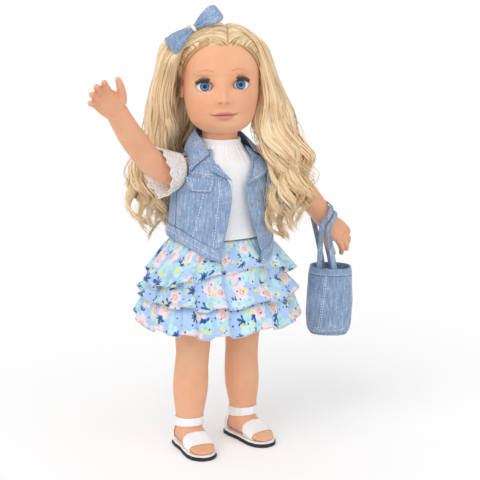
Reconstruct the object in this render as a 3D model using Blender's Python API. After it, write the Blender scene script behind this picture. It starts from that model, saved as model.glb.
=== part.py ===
"""Fashion doll of the 18 inch class: hollow vinyl body with turning head, arms, legs and sleep eyes,
dressed in a knit top with lace sleeves, an open denim vest, a three-tiered skirt and sandals,
with a bow in the hair and a small denim bag hanging from the left wrist.
The doll faces -Y, its right hand side is -X and +Z is up."""

import math

import bmesh
import bpy
from mathutils import Matrix, Vector

# Driving dimensions (metres)
CLEARANCE = 0.0004
VINYL_WALL = 0.0028
SECTION_POWER = 2.3

# the body above the floor: each length stands on the one before it
ANKLE_HEIGHT = 0.031
SHANK_LENGTH = 0.073
THIGH_LENGTH = 0.092
HIP_BALL_RADIUS = 0.0245
CROTCH_ROUNDING = 0.0005
SOCKET_LIP = 0.0054
WAIST_RISE = 0.0175
SHOULDER_RISE = 0.065
NECK_RISE = 0.0535
KNEE_HEIGHT = ANKLE_HEIGHT + SHANK_LENGTH
HIP_HEIGHT = KNEE_HEIGHT + THIGH_LENGTH
CROTCH_HEIGHT = HIP_HEIGHT - HIP_BALL_RADIUS + CROTCH_ROUNDING
SOCKET_TOP_HEIGHT = HIP_HEIGHT + HIP_BALL_RADIUS + SOCKET_LIP
WAIST_HEIGHT = HIP_HEIGHT + HIP_BALL_RADIUS + WAIST_RISE
SHOULDER_HEIGHT = WAIST_HEIGHT + SHOULDER_RISE
NECK_TOP_HEIGHT = SHOULDER_HEIGHT + NECK_RISE

# torso
TORSO_HALF_WIDTH = 0.050
TORSO_HALF_DEPTH = 0.035
NECK_RADIUS = 0.0185
NECK_BORE_RADIUS = 0.0130
NECK_PLUG_RADIUS = 0.0210
NECK_PLUG_HEIGHT = 0.0034

# shoulders and arms
SHOULDER_X = 0.055
SHOULDER_Y = 0.0050
SHOULDER_BALL_RADIUS = 0.0155
ARM_LENGTH = 0.106
ARM_RADIUS = 0.0134
JOINT_STUB_RADIUS = 0.0072
JOINT_FLANGE_RADIUS = 0.0089
JOINT_FLANGE_THICKNESS = 0.0030
ARM_FLANGE_X = 0.0205
HAND_LENGTH = 0.0240
HAND_HALF_WIDTH = 0.0130
HAND_HALF_THICKNESS = 0.0078
FINGER_LENGTH = 0.0262
FINGER_RADIUS = 0.0040
HAND_SLOPE = math.radians(40.0)
RIGHT_ARM_RAISE = math.radians(163.0)
LEFT_ARM_RAISE = math.radians(14.0)

# hips and legs
HIP_X = 0.0370
LEG_FLANGE_X = 0.0062
KNEE_X = 0.0315
ANKLE_X = 0.0345
THIGH_RADIUS = 0.0235
KNEE_RADIUS = 0.0178
CALF_RADIUS = 0.0190
ANKLE_RADIUS = 0.0143
FOOT_LENGTH = 0.0640
FOOT_HALF_WIDTH = 0.0148
FOOT_HEIGHT = 0.0290
TOE_OUT = math.radians(7.0)

# sandals
OUTSOLE_THICKNESS = 0.0034
FOOTBED_THICKNESS = 0.0020
SANDAL_LENGTH = 0.0700
SANDAL_HALF_WIDTH = 0.0168
STRAP_THICKNESS = 0.0011
TOE_STRAP_WIDTH = 0.0150
ANKLE_STRAP_WIDTH = 0.0085

# head
HEAD_YAW = math.radians(-29.0)
HEAD_X = 0.0
NECK_IN_HEAD = 0.0095
EYE_DROP = 0.0080
NECK_Y = 0.0040
HEAD_HALF_WIDTH = 0.0395
HEAD_HALF_DEPTH = 0.0440
HEAD_UP = 0.0470
HEAD_DOWN = 0.0545
HEAD_MIDDLE = NECK_TOP_HEIGHT + HEAD_DOWN - NECK_IN_HEAD
EYE_HEIGHT = HEAD_MIDDLE - EYE_DROP
EYE_X = 0.0188
EYE_Y = -0.0285
EYEBALL_RADIUS = 0.0094
EYE_OPENING_HALF_WIDTH = 0.0086
EYE_OPENING_HALF_HEIGHT = 0.0066
LASH_LENGTH = 0.0038
LASH_LIFT_DEGREES = 14.0
LASH_SWEEP_DEGREES = 50.0
LASH_THICKNESS = 0.0006
EYE_AXLE_RADIUS = 0.0011
EYE_WEIGHT_RADIUS = 0.0042
EAR_HALF_HEIGHT = 0.0098
EAR_HALF_DEPTH = 0.0062
EAR_HALF_THICKNESS = 0.0034

# hair and bow
HAIR_THICKNESS = 0.0085
HAIR_LENGTH = 0.2050
BOW_LOOP_LENGTH = 0.0300
BOW_LOOP_HALF_WIDTH = 0.0118
BOW_LOOP_HALF_THICKNESS = 0.0050
BOW_KNOT_RADIUS = 0.0042
BOW_KNOT_WIDTH = 0.0034

# knit top
KNIT_THICKNESS = 0.0014
KNIT_EASE = 0.0008
SLEEVE_ROOT_RADIUS = 0.0173
SLEEVE_LENGTH = 0.0255
SLEEVE_FLARE = 0.0085
SLEEVE_THICKNESS = 0.0010

# denim vest
DENIM_THICKNESS = 0.0013
VEST_HALF_WIDTH = 0.0560
VEST_HALF_DEPTH = 0.0485
VEST_TOP_SHARE = 0.43
VEST_TOP_HEIGHT = SHOULDER_HEIGHT + NECK_RISE * VEST_TOP_SHARE
VEST_HEM_DROP = 0.0060
VEST_SIDE_HEM_HEIGHT = WAIST_HEIGHT - VEST_HEM_DROP
VEST_FRONT_DROP = 0.0280
VEST_BAND_HEIGHT = 0.0130
ARMHOLE_RADIUS = 0.0213
COLLAR_RADIUS = 0.0250
COLLAR_TOP_SHARE = 0.7477
COLLAR_HEIGHT = SHOULDER_HEIGHT + NECK_RISE * COLLAR_TOP_SHARE
COLLAR_WIDTH = 0.0215
POCKET_FLAP_WIDTH = 0.0240
POCKET_FLAP_HEIGHT = 0.0135

# skirt
SKIRT_TOP_RISE = 0.0040
SKIRT_TOP_HEIGHT = WAIST_HEIGHT + SKIRT_TOP_RISE
SKIRT_THICKNESS = 0.0009
WAISTBAND_EASE = 0.0008
TOP_TIER_HALF_WIDTH = 0.0870
TOP_TIER_HALF_DEPTH = 0.0480
TOP_TIER_SIDE_SHIFT = 0.0030
TOP_TIER_LENGTH = 0.0570
TOP_TIER_HEM_HEIGHT = SKIRT_TOP_HEIGHT - TOP_TIER_LENGTH
TOP_TIER_FRONT_LIFT = 0.0170
MID_TIER_HALF_WIDTH = 0.0860
MID_TIER_HALF_DEPTH = 0.0670
MID_TIER_TOP_HALF_WIDTH = 0.0658
MID_TIER_TOP_HALF_DEPTH = 0.0342
MID_TIER_TUCK = 0.0150
MID_TIER_LENGTH = 0.0310
MID_TIER_TOP_HEIGHT = TOP_TIER_HEM_HEIGHT + MID_TIER_TUCK
MID_TIER_HEM_HEIGHT = MID_TIER_TOP_HEIGHT - MID_TIER_LENGTH
LOW_TIER_HALF_WIDTH = 0.0880
LOW_TIER_HALF_DEPTH = 0.0730
LOW_TIER_TOP_HALF_WIDTH = 0.0740
LOW_TIER_TOP_HALF_DEPTH = 0.0510
LOW_TIER_TUCK = 0.0090
LOW_TIER_LENGTH = 0.0370
LOW_TIER_TOP_HEIGHT = MID_TIER_HEM_HEIGHT + LOW_TIER_TUCK
LOW_TIER_HEM_HEIGHT = LOW_TIER_TOP_HEIGHT - LOW_TIER_LENGTH
RUFFLE_DEPTH = 0.0042
RUFFLE_COUNT = 13

# bag
BAG_YAW = math.radians(-34.0)
BAG_HALF_WIDTH = 0.0262
BAG_HALF_DEPTH = 0.0200
BAG_HEIGHT = 0.0765
BAG_RIM_DROP = 0.0500
BAG_HANG = BAG_HEIGHT + BAG_RIM_DROP
BAG_CLOTH_THICKNESS = 0.0014
BAG_HEM_HEIGHT = 0.0075
BAG_STRAP_WIDTH = 0.0058
BAG_STRAP_THICKNESS = 0.0012
BAG_SIDE_SHIFT = 0.0050
WRIST_RADIUS = 0.0118

# Share tables
# levels of the torso and of the vest that keep to the hip sockets, the waist, the shoulders and the neck
TORSO_LEVELS = (
    (0.000, CROTCH_HEIGHT),
    (0.292, SOCKET_TOP_HEIGHT),
    (0.358, WAIST_HEIGHT),
    (0.710, SHOULDER_HEIGHT),
    (1.000, NECK_TOP_HEIGHT),
)
VEST_LEVELS = (
    (0.0000, VEST_SIDE_HEM_HEIGHT - VEST_FRONT_DROP),
    (0.8115, SHOULDER_HEIGHT),
    (1.0000, VEST_TOP_HEIGHT),
)
# torso outside: level as above, half width and half depth
TORSO_SHARES = (
    (0.000, 0.1, 0.2),
    (0.033, 0.2, 0.55),
    (0.097, 0.235, 0.76),
    (0.174, 0.25, 0.9),
    (0.265, 0.26, 0.96),
    (0.292, 0.92, 1),
    (0.328, 0.95, 1),
    (0.374, 0.87, 0.93),
    (0.453, 0.87, 0.9),
    (0.560, 0.94, 0.94),
    (0.650, 0.98, 0.9),
    (0.719, 0.92, 0.82),
    (0.764, 0.8, 0.72),
    (0.801, 0.56, 0.62),
    (0.835, 0.4, 0.56),
    (0.868, 0.372, 0.53),
    (1.000, 0.37, 0.528),
)
# torso inside, as above
CAVITY_SHARES = (
    (0.048, 0.06, 0.2),
    (0.097, 0.175, 0.55),
    (0.246, 0.19, 0.76),
    (0.333, 0.78, 0.84),
    (0.386, 0.78, 0.8),
    (0.540, 0.84, 0.8),
    (0.617, 0.7, 0.76),
    (0.714, 0.66, 0.7),
    (0.762, 0.52, 0.58),
    (0.806, 0.262, 0.375),
    (1.050, 0.26, 0.372),
)
# arm from the shoulder to the wrist: outward, downward, radius
ARM_SHARES = (
    (0.020, 0.000, 0.90),
    (0.120, 0.030, 1.12),
    (0.250, 0.100, 1.03),
    (0.370, 0.215, 0.97),
    (0.480, 0.340, 1.00),
    (0.580, 0.455, 0.96),
    (0.665, 0.570, 0.88),
    (0.740, 0.673, 0.84),
)
# palm along the hand: length, half width, half thickness, shift to the thumb side
PALM_SHARES = (
    (-0.30, 0.82, 1.35, 0.00),
    (0.00, 0.86, 1.25, 0.00),
    (0.25, 0.98, 1.12, 0.06),
    (0.55, 1.06, 0.98, 0.08),
    (0.85, 1.02, 0.82, 0.02),
    (1.02, 0.90, 0.55, 0.00),
)
# fingers: start along the palm, place across it, length, radius, spread to the thumb side
FINGER_SHARES = (
    (0.77, 0.66, 0.96, 0.95, 0.14),
    (0.84, 0.22, 1.04, 1.00, 0.04),
    (0.79, -0.23, 0.99, 0.95, -0.05),
    (0.71, -0.63, 0.80, 0.86, -0.16),
)
# bends of the three finger joints of the right and the left hand, in radians
FINGER_BENDS = {-1: (0.15, 0.45, 0.80), 1: (0.22, 0.55, 0.85)}
# thumb: along the hand, towards the thumb side, radius
THUMB_SHARES = (
    (0.12, 0.30, 1.25),
    (0.30, 0.92, 1.45),
    (0.58, 1.34, 1.20),
    (0.88, 1.64, 1.00),
    (1.16, 1.84, 0.72),
)
# leg from hip to ankle: height between ankle and hip, place between ankle/knee/hip lines, radius
THIGH_SHARES = ((1.00, 1.02), (0.86, 1.02), (0.70, 0.97), (0.52, 0.86))
SHANK_SHARES = ((0.40, 1.00), (0.30, 1.02), (0.18, 1.05))
# foot from heel to toe: length, half width, top height
FOOT_SHARES = (
    (0.00, 0.40, 0.42),
    (0.04, 0.66, 0.66),
    (0.14, 0.88, 0.95),
    (0.30, 0.96, 1.00),
    (0.46, 0.97, 0.92),
    (0.62, 1.00, 0.70),
    (0.78, 1.00, 0.50),
    (0.90, 0.90, 0.40),
    (0.97, 0.66, 0.32),
    (1.00, 0.34, 0.22),
)
# sole outline: place along the sandal, half width
SOLE_SHARES = (
    (0.00, 0.30),
    (0.03, 0.58),
    (0.10, 0.80),
    (0.25, 0.88),
    (0.42, 0.86),
    (0.60, 0.96),
    (0.76, 1.00),
    (0.88, 0.88),
    (0.96, 0.58),
    (1.00, 0.26),
)
# vest outside: level, half width, half depth
VEST_SHARES = (
    (0.00, 1.040, 1.11),
    (0.22, 1.018, 1.03),
    (0.42, 0.985, 0.930),
    (0.58, 0.970, 0.880),
    (0.72, 0.965, 0.835),
    (0.80, 0.940, 0.790),
    (0.86, 0.890, 0.735),
    (0.91, 0.800, 0.680),
    (0.95, 0.660, 0.620),
    (1.00, 0.490, 0.560),
)
# levels of the head rings, outside and inside, from the chin (-1) to the crown (+1)
HEAD_LEVELS = (-0.985, -0.93, -0.84, -0.74, -0.64, -0.55, -0.46, -0.38, -0.31, -0.22)
HEAD_LEVELS += (-0.08, 0.10, 0.32, 0.56, 0.78, 0.92, 0.98)
HEAD_HOLLOW_LEVELS = (-0.88, -0.78, -0.42, -0.02, 0.46, 0.86)
# hair cap from the nape to the crown
CAP_LEVELS = (-0.62, -0.40, -0.16, 0.08, 0.30, 0.50, 0.68, 0.83, 0.93, 0.98)
# hair falls: length, centre across, centre back, half width, half depth (shares of hair length)
BACK_FALL_SHARES = (
    (0.00, 0.000, 0.150, 0.060, 0.070),
    (0.14, 0.000, 0.205, 0.170, 0.070),
    (0.30, 0.005, 0.255, 0.215, 0.060),
    (0.46, 0.000, 0.300, 0.235, 0.048),
    (0.62, -0.012, 0.325, 0.245, 0.050),
    (0.78, 0.004, 0.330, 0.240, 0.050),
    (0.92, -0.006, 0.330, 0.200, 0.042),
    (1.00, 0.000, 0.330, 0.110, 0.022),
)
RIGHT_FALL_SHARES = (
    (-0.10, -0.150, 0.020, 0.045, 0.060),
    (0.04, -0.210, 0.040, 0.070, 0.085),
    (0.20, -0.255, 0.080, 0.085, 0.100),
    (0.36, -0.290, 0.150, 0.085, 0.085),
    (0.50, -0.320, 0.215, 0.085, 0.070),
    (0.64, -0.345, 0.240, 0.090, 0.062),
    (0.80, -0.345, 0.240, 0.080, 0.056),
    (0.92, -0.335, 0.236, 0.040, 0.028),
)
LEFT_FALL_SHARES = (
    (-0.10, 0.150, -0.030, 0.045, 0.060),
    (0.04, 0.215, -0.040, 0.060, 0.080),
    (0.20, 0.250, -0.055, 0.075, 0.095),
    (0.34, 0.262, -0.100, 0.085, 0.085),
    (0.48, 0.262, -0.190, 0.092, 0.050),
    (0.64, 0.243, -0.240, 0.095, 0.045),
    (0.80, 0.226, -0.262, 0.092, 0.042),
    (0.93, 0.210, -0.275, 0.045, 0.022),
)
# bow loop from the knot outward: length, half width, half thickness
BOW_SHARES = (
    (0.01, 0.24, 0.40),
    (0.22, 0.48, 0.80),
    (0.48, 0.80, 1.05),
    (0.76, 1.02, 1.00),
    (0.93, 0.95, 0.80),
    (1.00, 0.66, 0.40),
)
# skirt tiers from seam to hem: drop, widening, deepening, fold depth
TOP_TIER_SHARES = (
    (0.00, 0.00, 0.00, 0.10),
    (0.35, 0.40, 0.40, 0.45),
    (0.70, 0.72, 0.68, 0.70),
    (1.00, 1.00, 1.00, 0.85),
)
MID_TIER_SHARES = (
    (0.40, 0.36, 0.41, 0.55),
    (1.00, 1.00, 1.00, 1.00),
)
LOW_TIER_SHARES = (
    (0.45, 0.56, 0.63, 0.70),
    (1.00, 1.00, 1.00, 1.00),
)
TIER_COLUMNS = 52
# bag outside from the bottom: height, width, depth
BAG_SHARES = (
    (0.00, 0.70, 0.62),
    (0.035, 0.86, 0.82),
    (0.14, 0.985, 0.98),
    (0.40, 1.00, 1.00),
    (0.70, 0.985, 0.97),
    (0.88, 0.93, 0.92),
    (1.00, 0.86, 0.88),
)
# bag handles: near end across and deep, far end across and deep, place along the wrist,
# reach over the top of the wrist, and how much further it goes at the front and at the rear
HANDLE_SHARES = (
    (-0.50, -0.53, -0.30, 0.67, -1.02, 1.41, 0.16, 0.52),
    (0.14, -0.72, 0.06, 0.72, -0.22, 1.20, 0.11, 0.25),
)

# collar: fold angle, fold radius and drop, free edge angle and level on the vest
COLLAR_SHARES = (
    (-402.0, 1.46, 0.98, -383.0, 0.815),
    (-388.0, 1.20, 0.62, -373.0, 0.915),
    (-368.0, 1.06, 0.26, -353.0, 0.955),
    (-340.0, 1.00, 0.08, -333.0, 0.955),
    (-305.0, 1.00, 0.00, -302.0, 0.955),
    (-235.0, 1.00, 0.00, -238.0, 0.955),
    (-200.0, 1.00, 0.08, -207.0, 0.955),
    (-172.0, 1.06, 0.26, -187.0, 0.955),
    (-152.0, 1.20, 0.62, -167.0, 0.915),
    (-138.0, 1.46, 0.98, -157.0, 0.815),
)
COLLAR_COLUMNS = 18
# lapels and pocket flaps: corners as (angle, height) pairs, heights as shares of the vest height
RIGHT_LAPEL = ((-131.0, 0.915), (-117.0, 0.890), (-127.5, 0.845), (-105.0, 0.755))
LEFT_LAPEL = ((-50.0, 0.915), (-68.0, 0.890), (-42.0, 0.815), (-86.0, 0.720))
RIGHT_EDGE_DEGREES = ((0.0, -123.0), (0.35, -112.0), (0.62, -106.0), (0.80, -113.0), (1.0, -138.0))
LEFT_EDGE_DEGREES = ((0.0, -72.0), (0.35, -82.0), (0.62, -87.0), (0.80, -76.0), (1.0, -50.0))
PANEL_LEVELS = (0.0, 0.22, 0.44, 0.62, 0.76, 0.87, 0.94, 1.0)
SEAM_DEGREES = 0.6
FACE_BUMP_SHARES = (
    # across, height from the eyes, push out, spread across, spread up (shares of head half width)
    (0.00, -0.385, 0.165, 0.105, 0.120),
    (0.00, -0.180, 0.060, 0.110, 0.200),
    (0.48, 0.020, -0.055, 0.230, 0.170),
    (-0.48, 0.020, -0.055, 0.230, 0.170),
    (0.50, -0.560, 0.040, 0.240, 0.230),
    (-0.50, -0.560, 0.040, 0.240, 0.230),
    (0.00, -0.750, 0.062, 0.230, 0.090),
    (0.00, -1.080, 0.060, 0.220, 0.130),
)

FLAP_TOP_SHARE = 0.790


# Scene and helpers
for old in list(bpy.data.objects):
    bpy.data.objects.remove(old, do_unlink=True)

MODEL = bpy.data.collections.new("fashion_doll")
CUTTERS = bpy.data.collections.new("cutters")
bpy.context.scene.collection.children.link(MODEL)
bpy.context.scene.collection.children.link(CUTTERS)
CUTTERS.hide_render = True


def material(name, colour, roughness, metallic=0.0):
    made = bpy.data.materials.new(name)
    made.use_nodes = True
    shader = made.node_tree.nodes["Principled BSDF"]
    shader.inputs["Base Color"].default_value = (*colour, 1.0)
    shader.inputs["Roughness"].default_value = roughness
    shader.inputs["Metallic"].default_value = metallic
    made.diffuse_color = (*colour, 1.0)
    return made


SKIN = material("skin_vinyl", (0.87, 0.46, 0.27), 0.45)
EYE_WHITE = material("eye_plastic", (0.88, 0.90, 0.92), 0.15)
LASH_BROWN = material("lash_bristle", (0.09, 0.05, 0.03), 0.70)
STEEL = material("axle_steel", (0.60, 0.60, 0.62), 0.30, 1.0)
LEAD = material("eye_weight_lead", (0.22, 0.22, 0.24), 0.60, 1.0)
NYLON = material("neck_plug_nylon", (0.85, 0.84, 0.80), 0.50)
HAIR = material("hair_fibre", (0.77, 0.55, 0.27), 0.40)
DENIM = material("denim", (0.20, 0.31, 0.52), 0.90)
WHITE_TAPE = material("white_tape", (0.90, 0.90, 0.92), 0.80)
KNIT = material("white_knit", (0.88, 0.88, 0.92), 0.90)
LACE = material("white_lace", (0.90, 0.90, 0.92), 0.90)
PRINT = material("printed_cotton", (0.40, 0.58, 0.92), 0.85)
STRAP_WHITE = material("white_strap", (0.86, 0.86, 0.87), 0.50)
FOOTBED = material("white_footbed", (0.82, 0.82, 0.82), 0.60)
RUBBER = material("black_sole", (0.02, 0.02, 0.02), 0.60)


def pivot(name, parent, place, turn=(0.0, 0.0, 0.0)):
    made = bpy.data.objects.new(name, None)
    MODEL.objects.link(made)
    made.parent = parent
    made.location = place
    made.rotation_euler = turn
    return made


def put(name, bm, mat, parent, smooth=True, collection=MODEL):
    bmesh.ops.recalc_face_normals(bm, faces=bm.faces)
    if bm.calc_volume(signed=True) < 0.0:
        bmesh.ops.reverse_faces(bm, faces=bm.faces)
    mesh = bpy.data.meshes.new(name)
    bm.to_mesh(mesh)
    bm.free()
    made = bpy.data.objects.new(name, mesh)
    collection.objects.link(made)
    made.parent = parent
    if mat:
        mesh.materials.append(mat)
    for face in mesh.polygons:
        face.use_smooth = smooth
    return made


def as_cutter(made):
    made.hide_render = True
    made.display_type = "WIRE"
    return made


def combine(target, other, operation):
    step = target.modifiers.new(operation.lower(), "BOOLEAN")
    step.operation = operation
    step.solver = "EXACT"
    step.object = other
    return target


def ellipse(centre, half_a, half_b, count, axis_a=(1, 0, 0), axis_b=(0, 1, 0), power=2.0):
    centre, axis_a, axis_b = Vector(centre), Vector(axis_a), Vector(axis_b)
    points = []
    for i in range(count):
        angle = math.tau * i / count
        c, s = math.cos(angle), math.sin(angle)
        a = math.copysign(abs(c) ** (2.0 / power), c) * half_a
        b = math.copysign(abs(s) ** (2.0 / power), s) * half_b
        points.append(centre + axis_a * a + axis_b * b)
    return points


def bridge(bm, first, second):
    count = len(first)
    for i in range(count):
        j = (i + 1) % count
        bm.faces.new((first[i], first[j], second[j]))
        bm.faces.new((first[i], second[j], second[i]))


def loft(name, rings, mat, parent, smooth=True, collection=MODEL):
    """A closed solid through rings of equal point counts, each end closed by a flat face."""
    bm = bmesh.new()
    rows = [[bm.verts.new(p) for p in ring] for ring in rings]
    for first, second in zip(rows, rows[1:]):
        bridge(bm, first, second)
    bm.faces.new(rows[0])
    bm.faces.new(rows[-1])
    return put(name, bm, mat, parent, smooth, collection)


def tube_solid(name, outer, inner, mat, parent, smooth=True):
    """A closed band of cloth: outer and inner rings joined at both rims."""
    bm = bmesh.new()
    outside = [[bm.verts.new(p) for p in ring] for ring in outer]
    inside = [[bm.verts.new(p) for p in ring] for ring in inner]
    for rows in (outside, inside):
        for first, second in zip(rows, rows[1:]):
            bridge(bm, first, second)
    bridge(bm, outside[0], inside[0])
    bridge(bm, outside[-1], inside[-1])
    return put(name, bm, mat, parent, smooth)


def sheet_solid(name, outer, inner, mat, parent, smooth=True):
    """A closed patch of cloth from two grids of points."""
    bm = bmesh.new()
    outside = [[bm.verts.new(p) for p in row] for row in outer]
    inside = [[bm.verts.new(p) for p in row] for row in inner]
    for grid in (outside, inside):
        for low, high in zip(grid, grid[1:]):
            for i in range(len(low) - 1):
                bm.faces.new((low[i], low[i + 1], high[i + 1]))
                bm.faces.new((low[i], high[i + 1], high[i]))
    for one, two in ((outside[0], inside[0]), (outside[-1], inside[-1])):
        for i in range(len(one) - 1):
            bm.faces.new((one[i], one[i + 1], two[i + 1], two[i]))
    for column in (0, -1):
        one = [row[column] for row in outside]
        two = [row[column] for row in inside]
        for i in range(len(one) - 1):
            bm.faces.new((one[i], one[i + 1], two[i + 1], two[i]))
    return put(name, bm, mat, parent, smooth)


def path_rings(path, radii, count, flat=1.0, phase_axis=None):
    """Rings square to a path, each of its own radius; flat squeezes them along the second axis."""
    path = [Vector(p) for p in path]
    rings = []
    for i, point in enumerate(path):
        ahead = path[min(i + 1, len(path) - 1)] - path[max(i - 1, 0)]
        ahead.normalize()
        guide = Vector(phase_axis or (0.0, 1.0, 0.0))
        across = guide - ahead * guide.dot(ahead)
        across.normalize()
        other = ahead.cross(across)
        rings.append(ellipse(point, radii[i], radii[i] * flat, count, across, other))
    return rings


def ball(name, centre, radii, segments, rings, mat, parent, collection=MODEL):
    bm = bmesh.new()
    bmesh.ops.create_uvsphere(bm, u_segments=segments, v_segments=rings, radius=1.0)
    bmesh.ops.scale(bm, vec=Vector(radii), verts=bm.verts)
    bmesh.ops.translate(bm, vec=Vector(centre), verts=bm.verts)
    return put(name, bm, mat, parent, True, collection)


def cylinder(name, centre, radius, length, axis, segments, mat, parent, collection=MODEL):
    turn = Vector((0.0, 0.0, 1.0)).rotation_difference(Vector(axis)).to_matrix().to_4x4()
    bm = bmesh.new()
    bmesh.ops.create_cone(
        bm, cap_ends=True, segments=segments, radius1=radius, radius2=radius, depth=length
    )
    bmesh.ops.transform(bm, matrix=Matrix.Translation(Vector(centre)) @ turn, verts=bm.verts)
    return put(name, bm, mat, parent, True, collection)


def blend(table, at, column):
    """Straight interpolation in a table whose first column rises."""
    if at <= table[0][0]:
        return table[0][column]
    for low, high in zip(table, table[1:]):
        if at <= high[0]:
            part = (at - low[0]) / (high[0] - low[0])
            return low[column] + (high[column] - low[column]) * part
    return table[-1][column]


# Pivots
DOLL = pivot("doll", None, (0.0, 0.0, 0.0))
HEAD = pivot("pivot_head", DOLL, (HEAD_X, NECK_Y, NECK_TOP_HEIGHT), (0.0, 0.0, HEAD_YAW))
EYES = pivot("pivot_eyes", HEAD, (0.0, EYE_Y, EYE_HEIGHT - NECK_TOP_HEIGHT))
ARMS = {
    -1: pivot(
        "pivot_right_arm",
        DOLL,
        (-SHOULDER_X, SHOULDER_Y, SHOULDER_HEIGHT),
        (-RIGHT_ARM_RAISE, 0.0, 0.0),
    ),
    1: pivot(
        "pivot_left_arm",
        DOLL,
        (SHOULDER_X, SHOULDER_Y, SHOULDER_HEIGHT),
        (-LEFT_ARM_RAISE, 0.0, 0.0),
    ),
}
LEGS = {
    side: pivot("pivot_%s_leg" % word, DOLL, (side * HIP_X, 0.0, HIP_HEIGHT))
    for side, word in ((-1, "right"), (1, "left"))
}
WORDS = {-1: "right", 1: "left"}


# Torso
def height_at(levels, share):
    """Height of a level, between or beyond the two levels of the list next to it."""
    for low, high in zip(levels, levels[1:]):
        if share <= high[0] or high is levels[-1]:
            return low[1] + (high[1] - low[1]) * (share - low[0]) / (high[0] - low[0])


def share_at(levels, height):
    """Level at a height above the floor, the other way round."""
    for low, high in zip(levels, levels[1:]):
        if height <= high[1] or high is levels[-1]:
            return low[0] + (high[0] - low[0]) * (height - low[1]) / (high[1] - low[1])


def torso_half(height, grow=0.0):
    """Half width and half depth of the torso at a height above the floor."""
    share = share_at(TORSO_LEVELS, height)
    wide = blend(TORSO_SHARES, share, 1) * TORSO_HALF_WIDTH + grow
    deep = blend(TORSO_SHARES, share, 2) * TORSO_HALF_DEPTH + grow
    return wide, deep


def shifted_y(height):
    """The neck stands a little behind the chest."""
    share = (height - SHOULDER_HEIGHT) / (NECK_TOP_HEIGHT - SHOULDER_HEIGHT)
    return NECK_Y * min(max(share * 2.0, 0.0), 1.0)


def body_ring(table, row, count):
    height = height_at(TORSO_LEVELS, row[0])
    power = SECTION_POWER if row[1] > 0.45 else 2.0
    across = HEAD_X * min(max((row[0] - 0.79) * 9.0, 0.0), 1.0)
    return ellipse(
        (across, shifted_y(height), height),
        row[1] * TORSO_HALF_WIDTH,
        row[2] * TORSO_HALF_DEPTH,
        count,
        power=power,
    )


def make_torso():
    torso = loft("torso", [body_ring(TORSO_SHARES, r, 18) for r in TORSO_SHARES], SKIN, DOLL)
    hollow = loft(
        "torso_hollow",
        [body_ring(CAVITY_SHARES, r, 12) for r in CAVITY_SHARES],
        None,
        DOLL,
        collection=CUTTERS,
    )
    combine(torso, as_cutter(hollow), "DIFFERENCE")
    for side in (-1, 1):
        word = WORDS[side]
        seat = ball(
            "arm_seat_" + word,
            (side * SHOULDER_X, SHOULDER_Y, SHOULDER_HEIGHT),
            [SHOULDER_BALL_RADIUS + CLEARANCE * 2.0] * 3,
            14,
            8,
            None,
            DOLL,
            CUTTERS,
        )
        combine(torso, as_cutter(seat), "DIFFERENCE")
        arm_hole = cylinder(
            "arm_hole_" + word,
            (side * SHOULDER_X * 0.7, SHOULDER_Y, SHOULDER_HEIGHT),
            JOINT_STUB_RADIUS + CLEARANCE,
            SHOULDER_X * 0.7,
            (1.0, 0.0, 0.0),
            12,
            None,
            DOLL,
            CUTTERS,
        )
        combine(torso, as_cutter(arm_hole), "DIFFERENCE")
        leg_hole = cylinder(
            "leg_hole_" + word,
            (side * HIP_X * 0.45, 0.0, HIP_HEIGHT),
            JOINT_STUB_RADIUS + CLEARANCE,
            HIP_X * 0.7,
            (1.0, 0.0, 0.0),
            12,
            None,
            DOLL,
            CUTTERS,
        )
        combine(torso, as_cutter(leg_hole), "DIFFERENCE")
    return torso


def make_neck_plug():
    """The nylon disc that snaps into the neck and keeps the head on."""
    base = CLEARANCE
    rings = []
    for radius, height in (
        (NECK_BORE_RADIUS * 0.70, -NECK_PLUG_HEIGHT * 2.0),
        (NECK_BORE_RADIUS - CLEARANCE * 3.0, -NECK_PLUG_HEIGHT * 1.5),
        (NECK_BORE_RADIUS - CLEARANCE * 3.0, base),
        (NECK_PLUG_RADIUS, base),
        (NECK_PLUG_RADIUS, base + NECK_PLUG_HEIGHT * 0.7),
        (NECK_PLUG_RADIUS * 0.93, base + NECK_PLUG_HEIGHT),
    ):
        rings.append(
            ellipse((HEAD_X, NECK_Y, NECK_TOP_HEIGHT + height), radius, radius, 20)
        )
    return loft("neck_plug", rings, NYLON, DOLL, smooth=False)


# Arms
def arm_point(side, out, down, forward=0.0):
    return Vector((side * out, -forward, -down))


def hand_frame(side):
    """Wrist point, along the hand, towards the thumb, out of the palm."""
    wrist = arm_point(side, ARM_SHARES[-1][0] * ARM_LENGTH, ARM_SHARES[-1][1] * ARM_LENGTH)
    slope = HAND_SLOPE
    along = arm_point(side, math.cos(slope), math.sin(slope))
    thumb = arm_point(side, -math.sin(slope), math.cos(slope))
    palm = Vector((0.0, 1.0, 0.0))
    return wrist, along, thumb, palm


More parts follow.
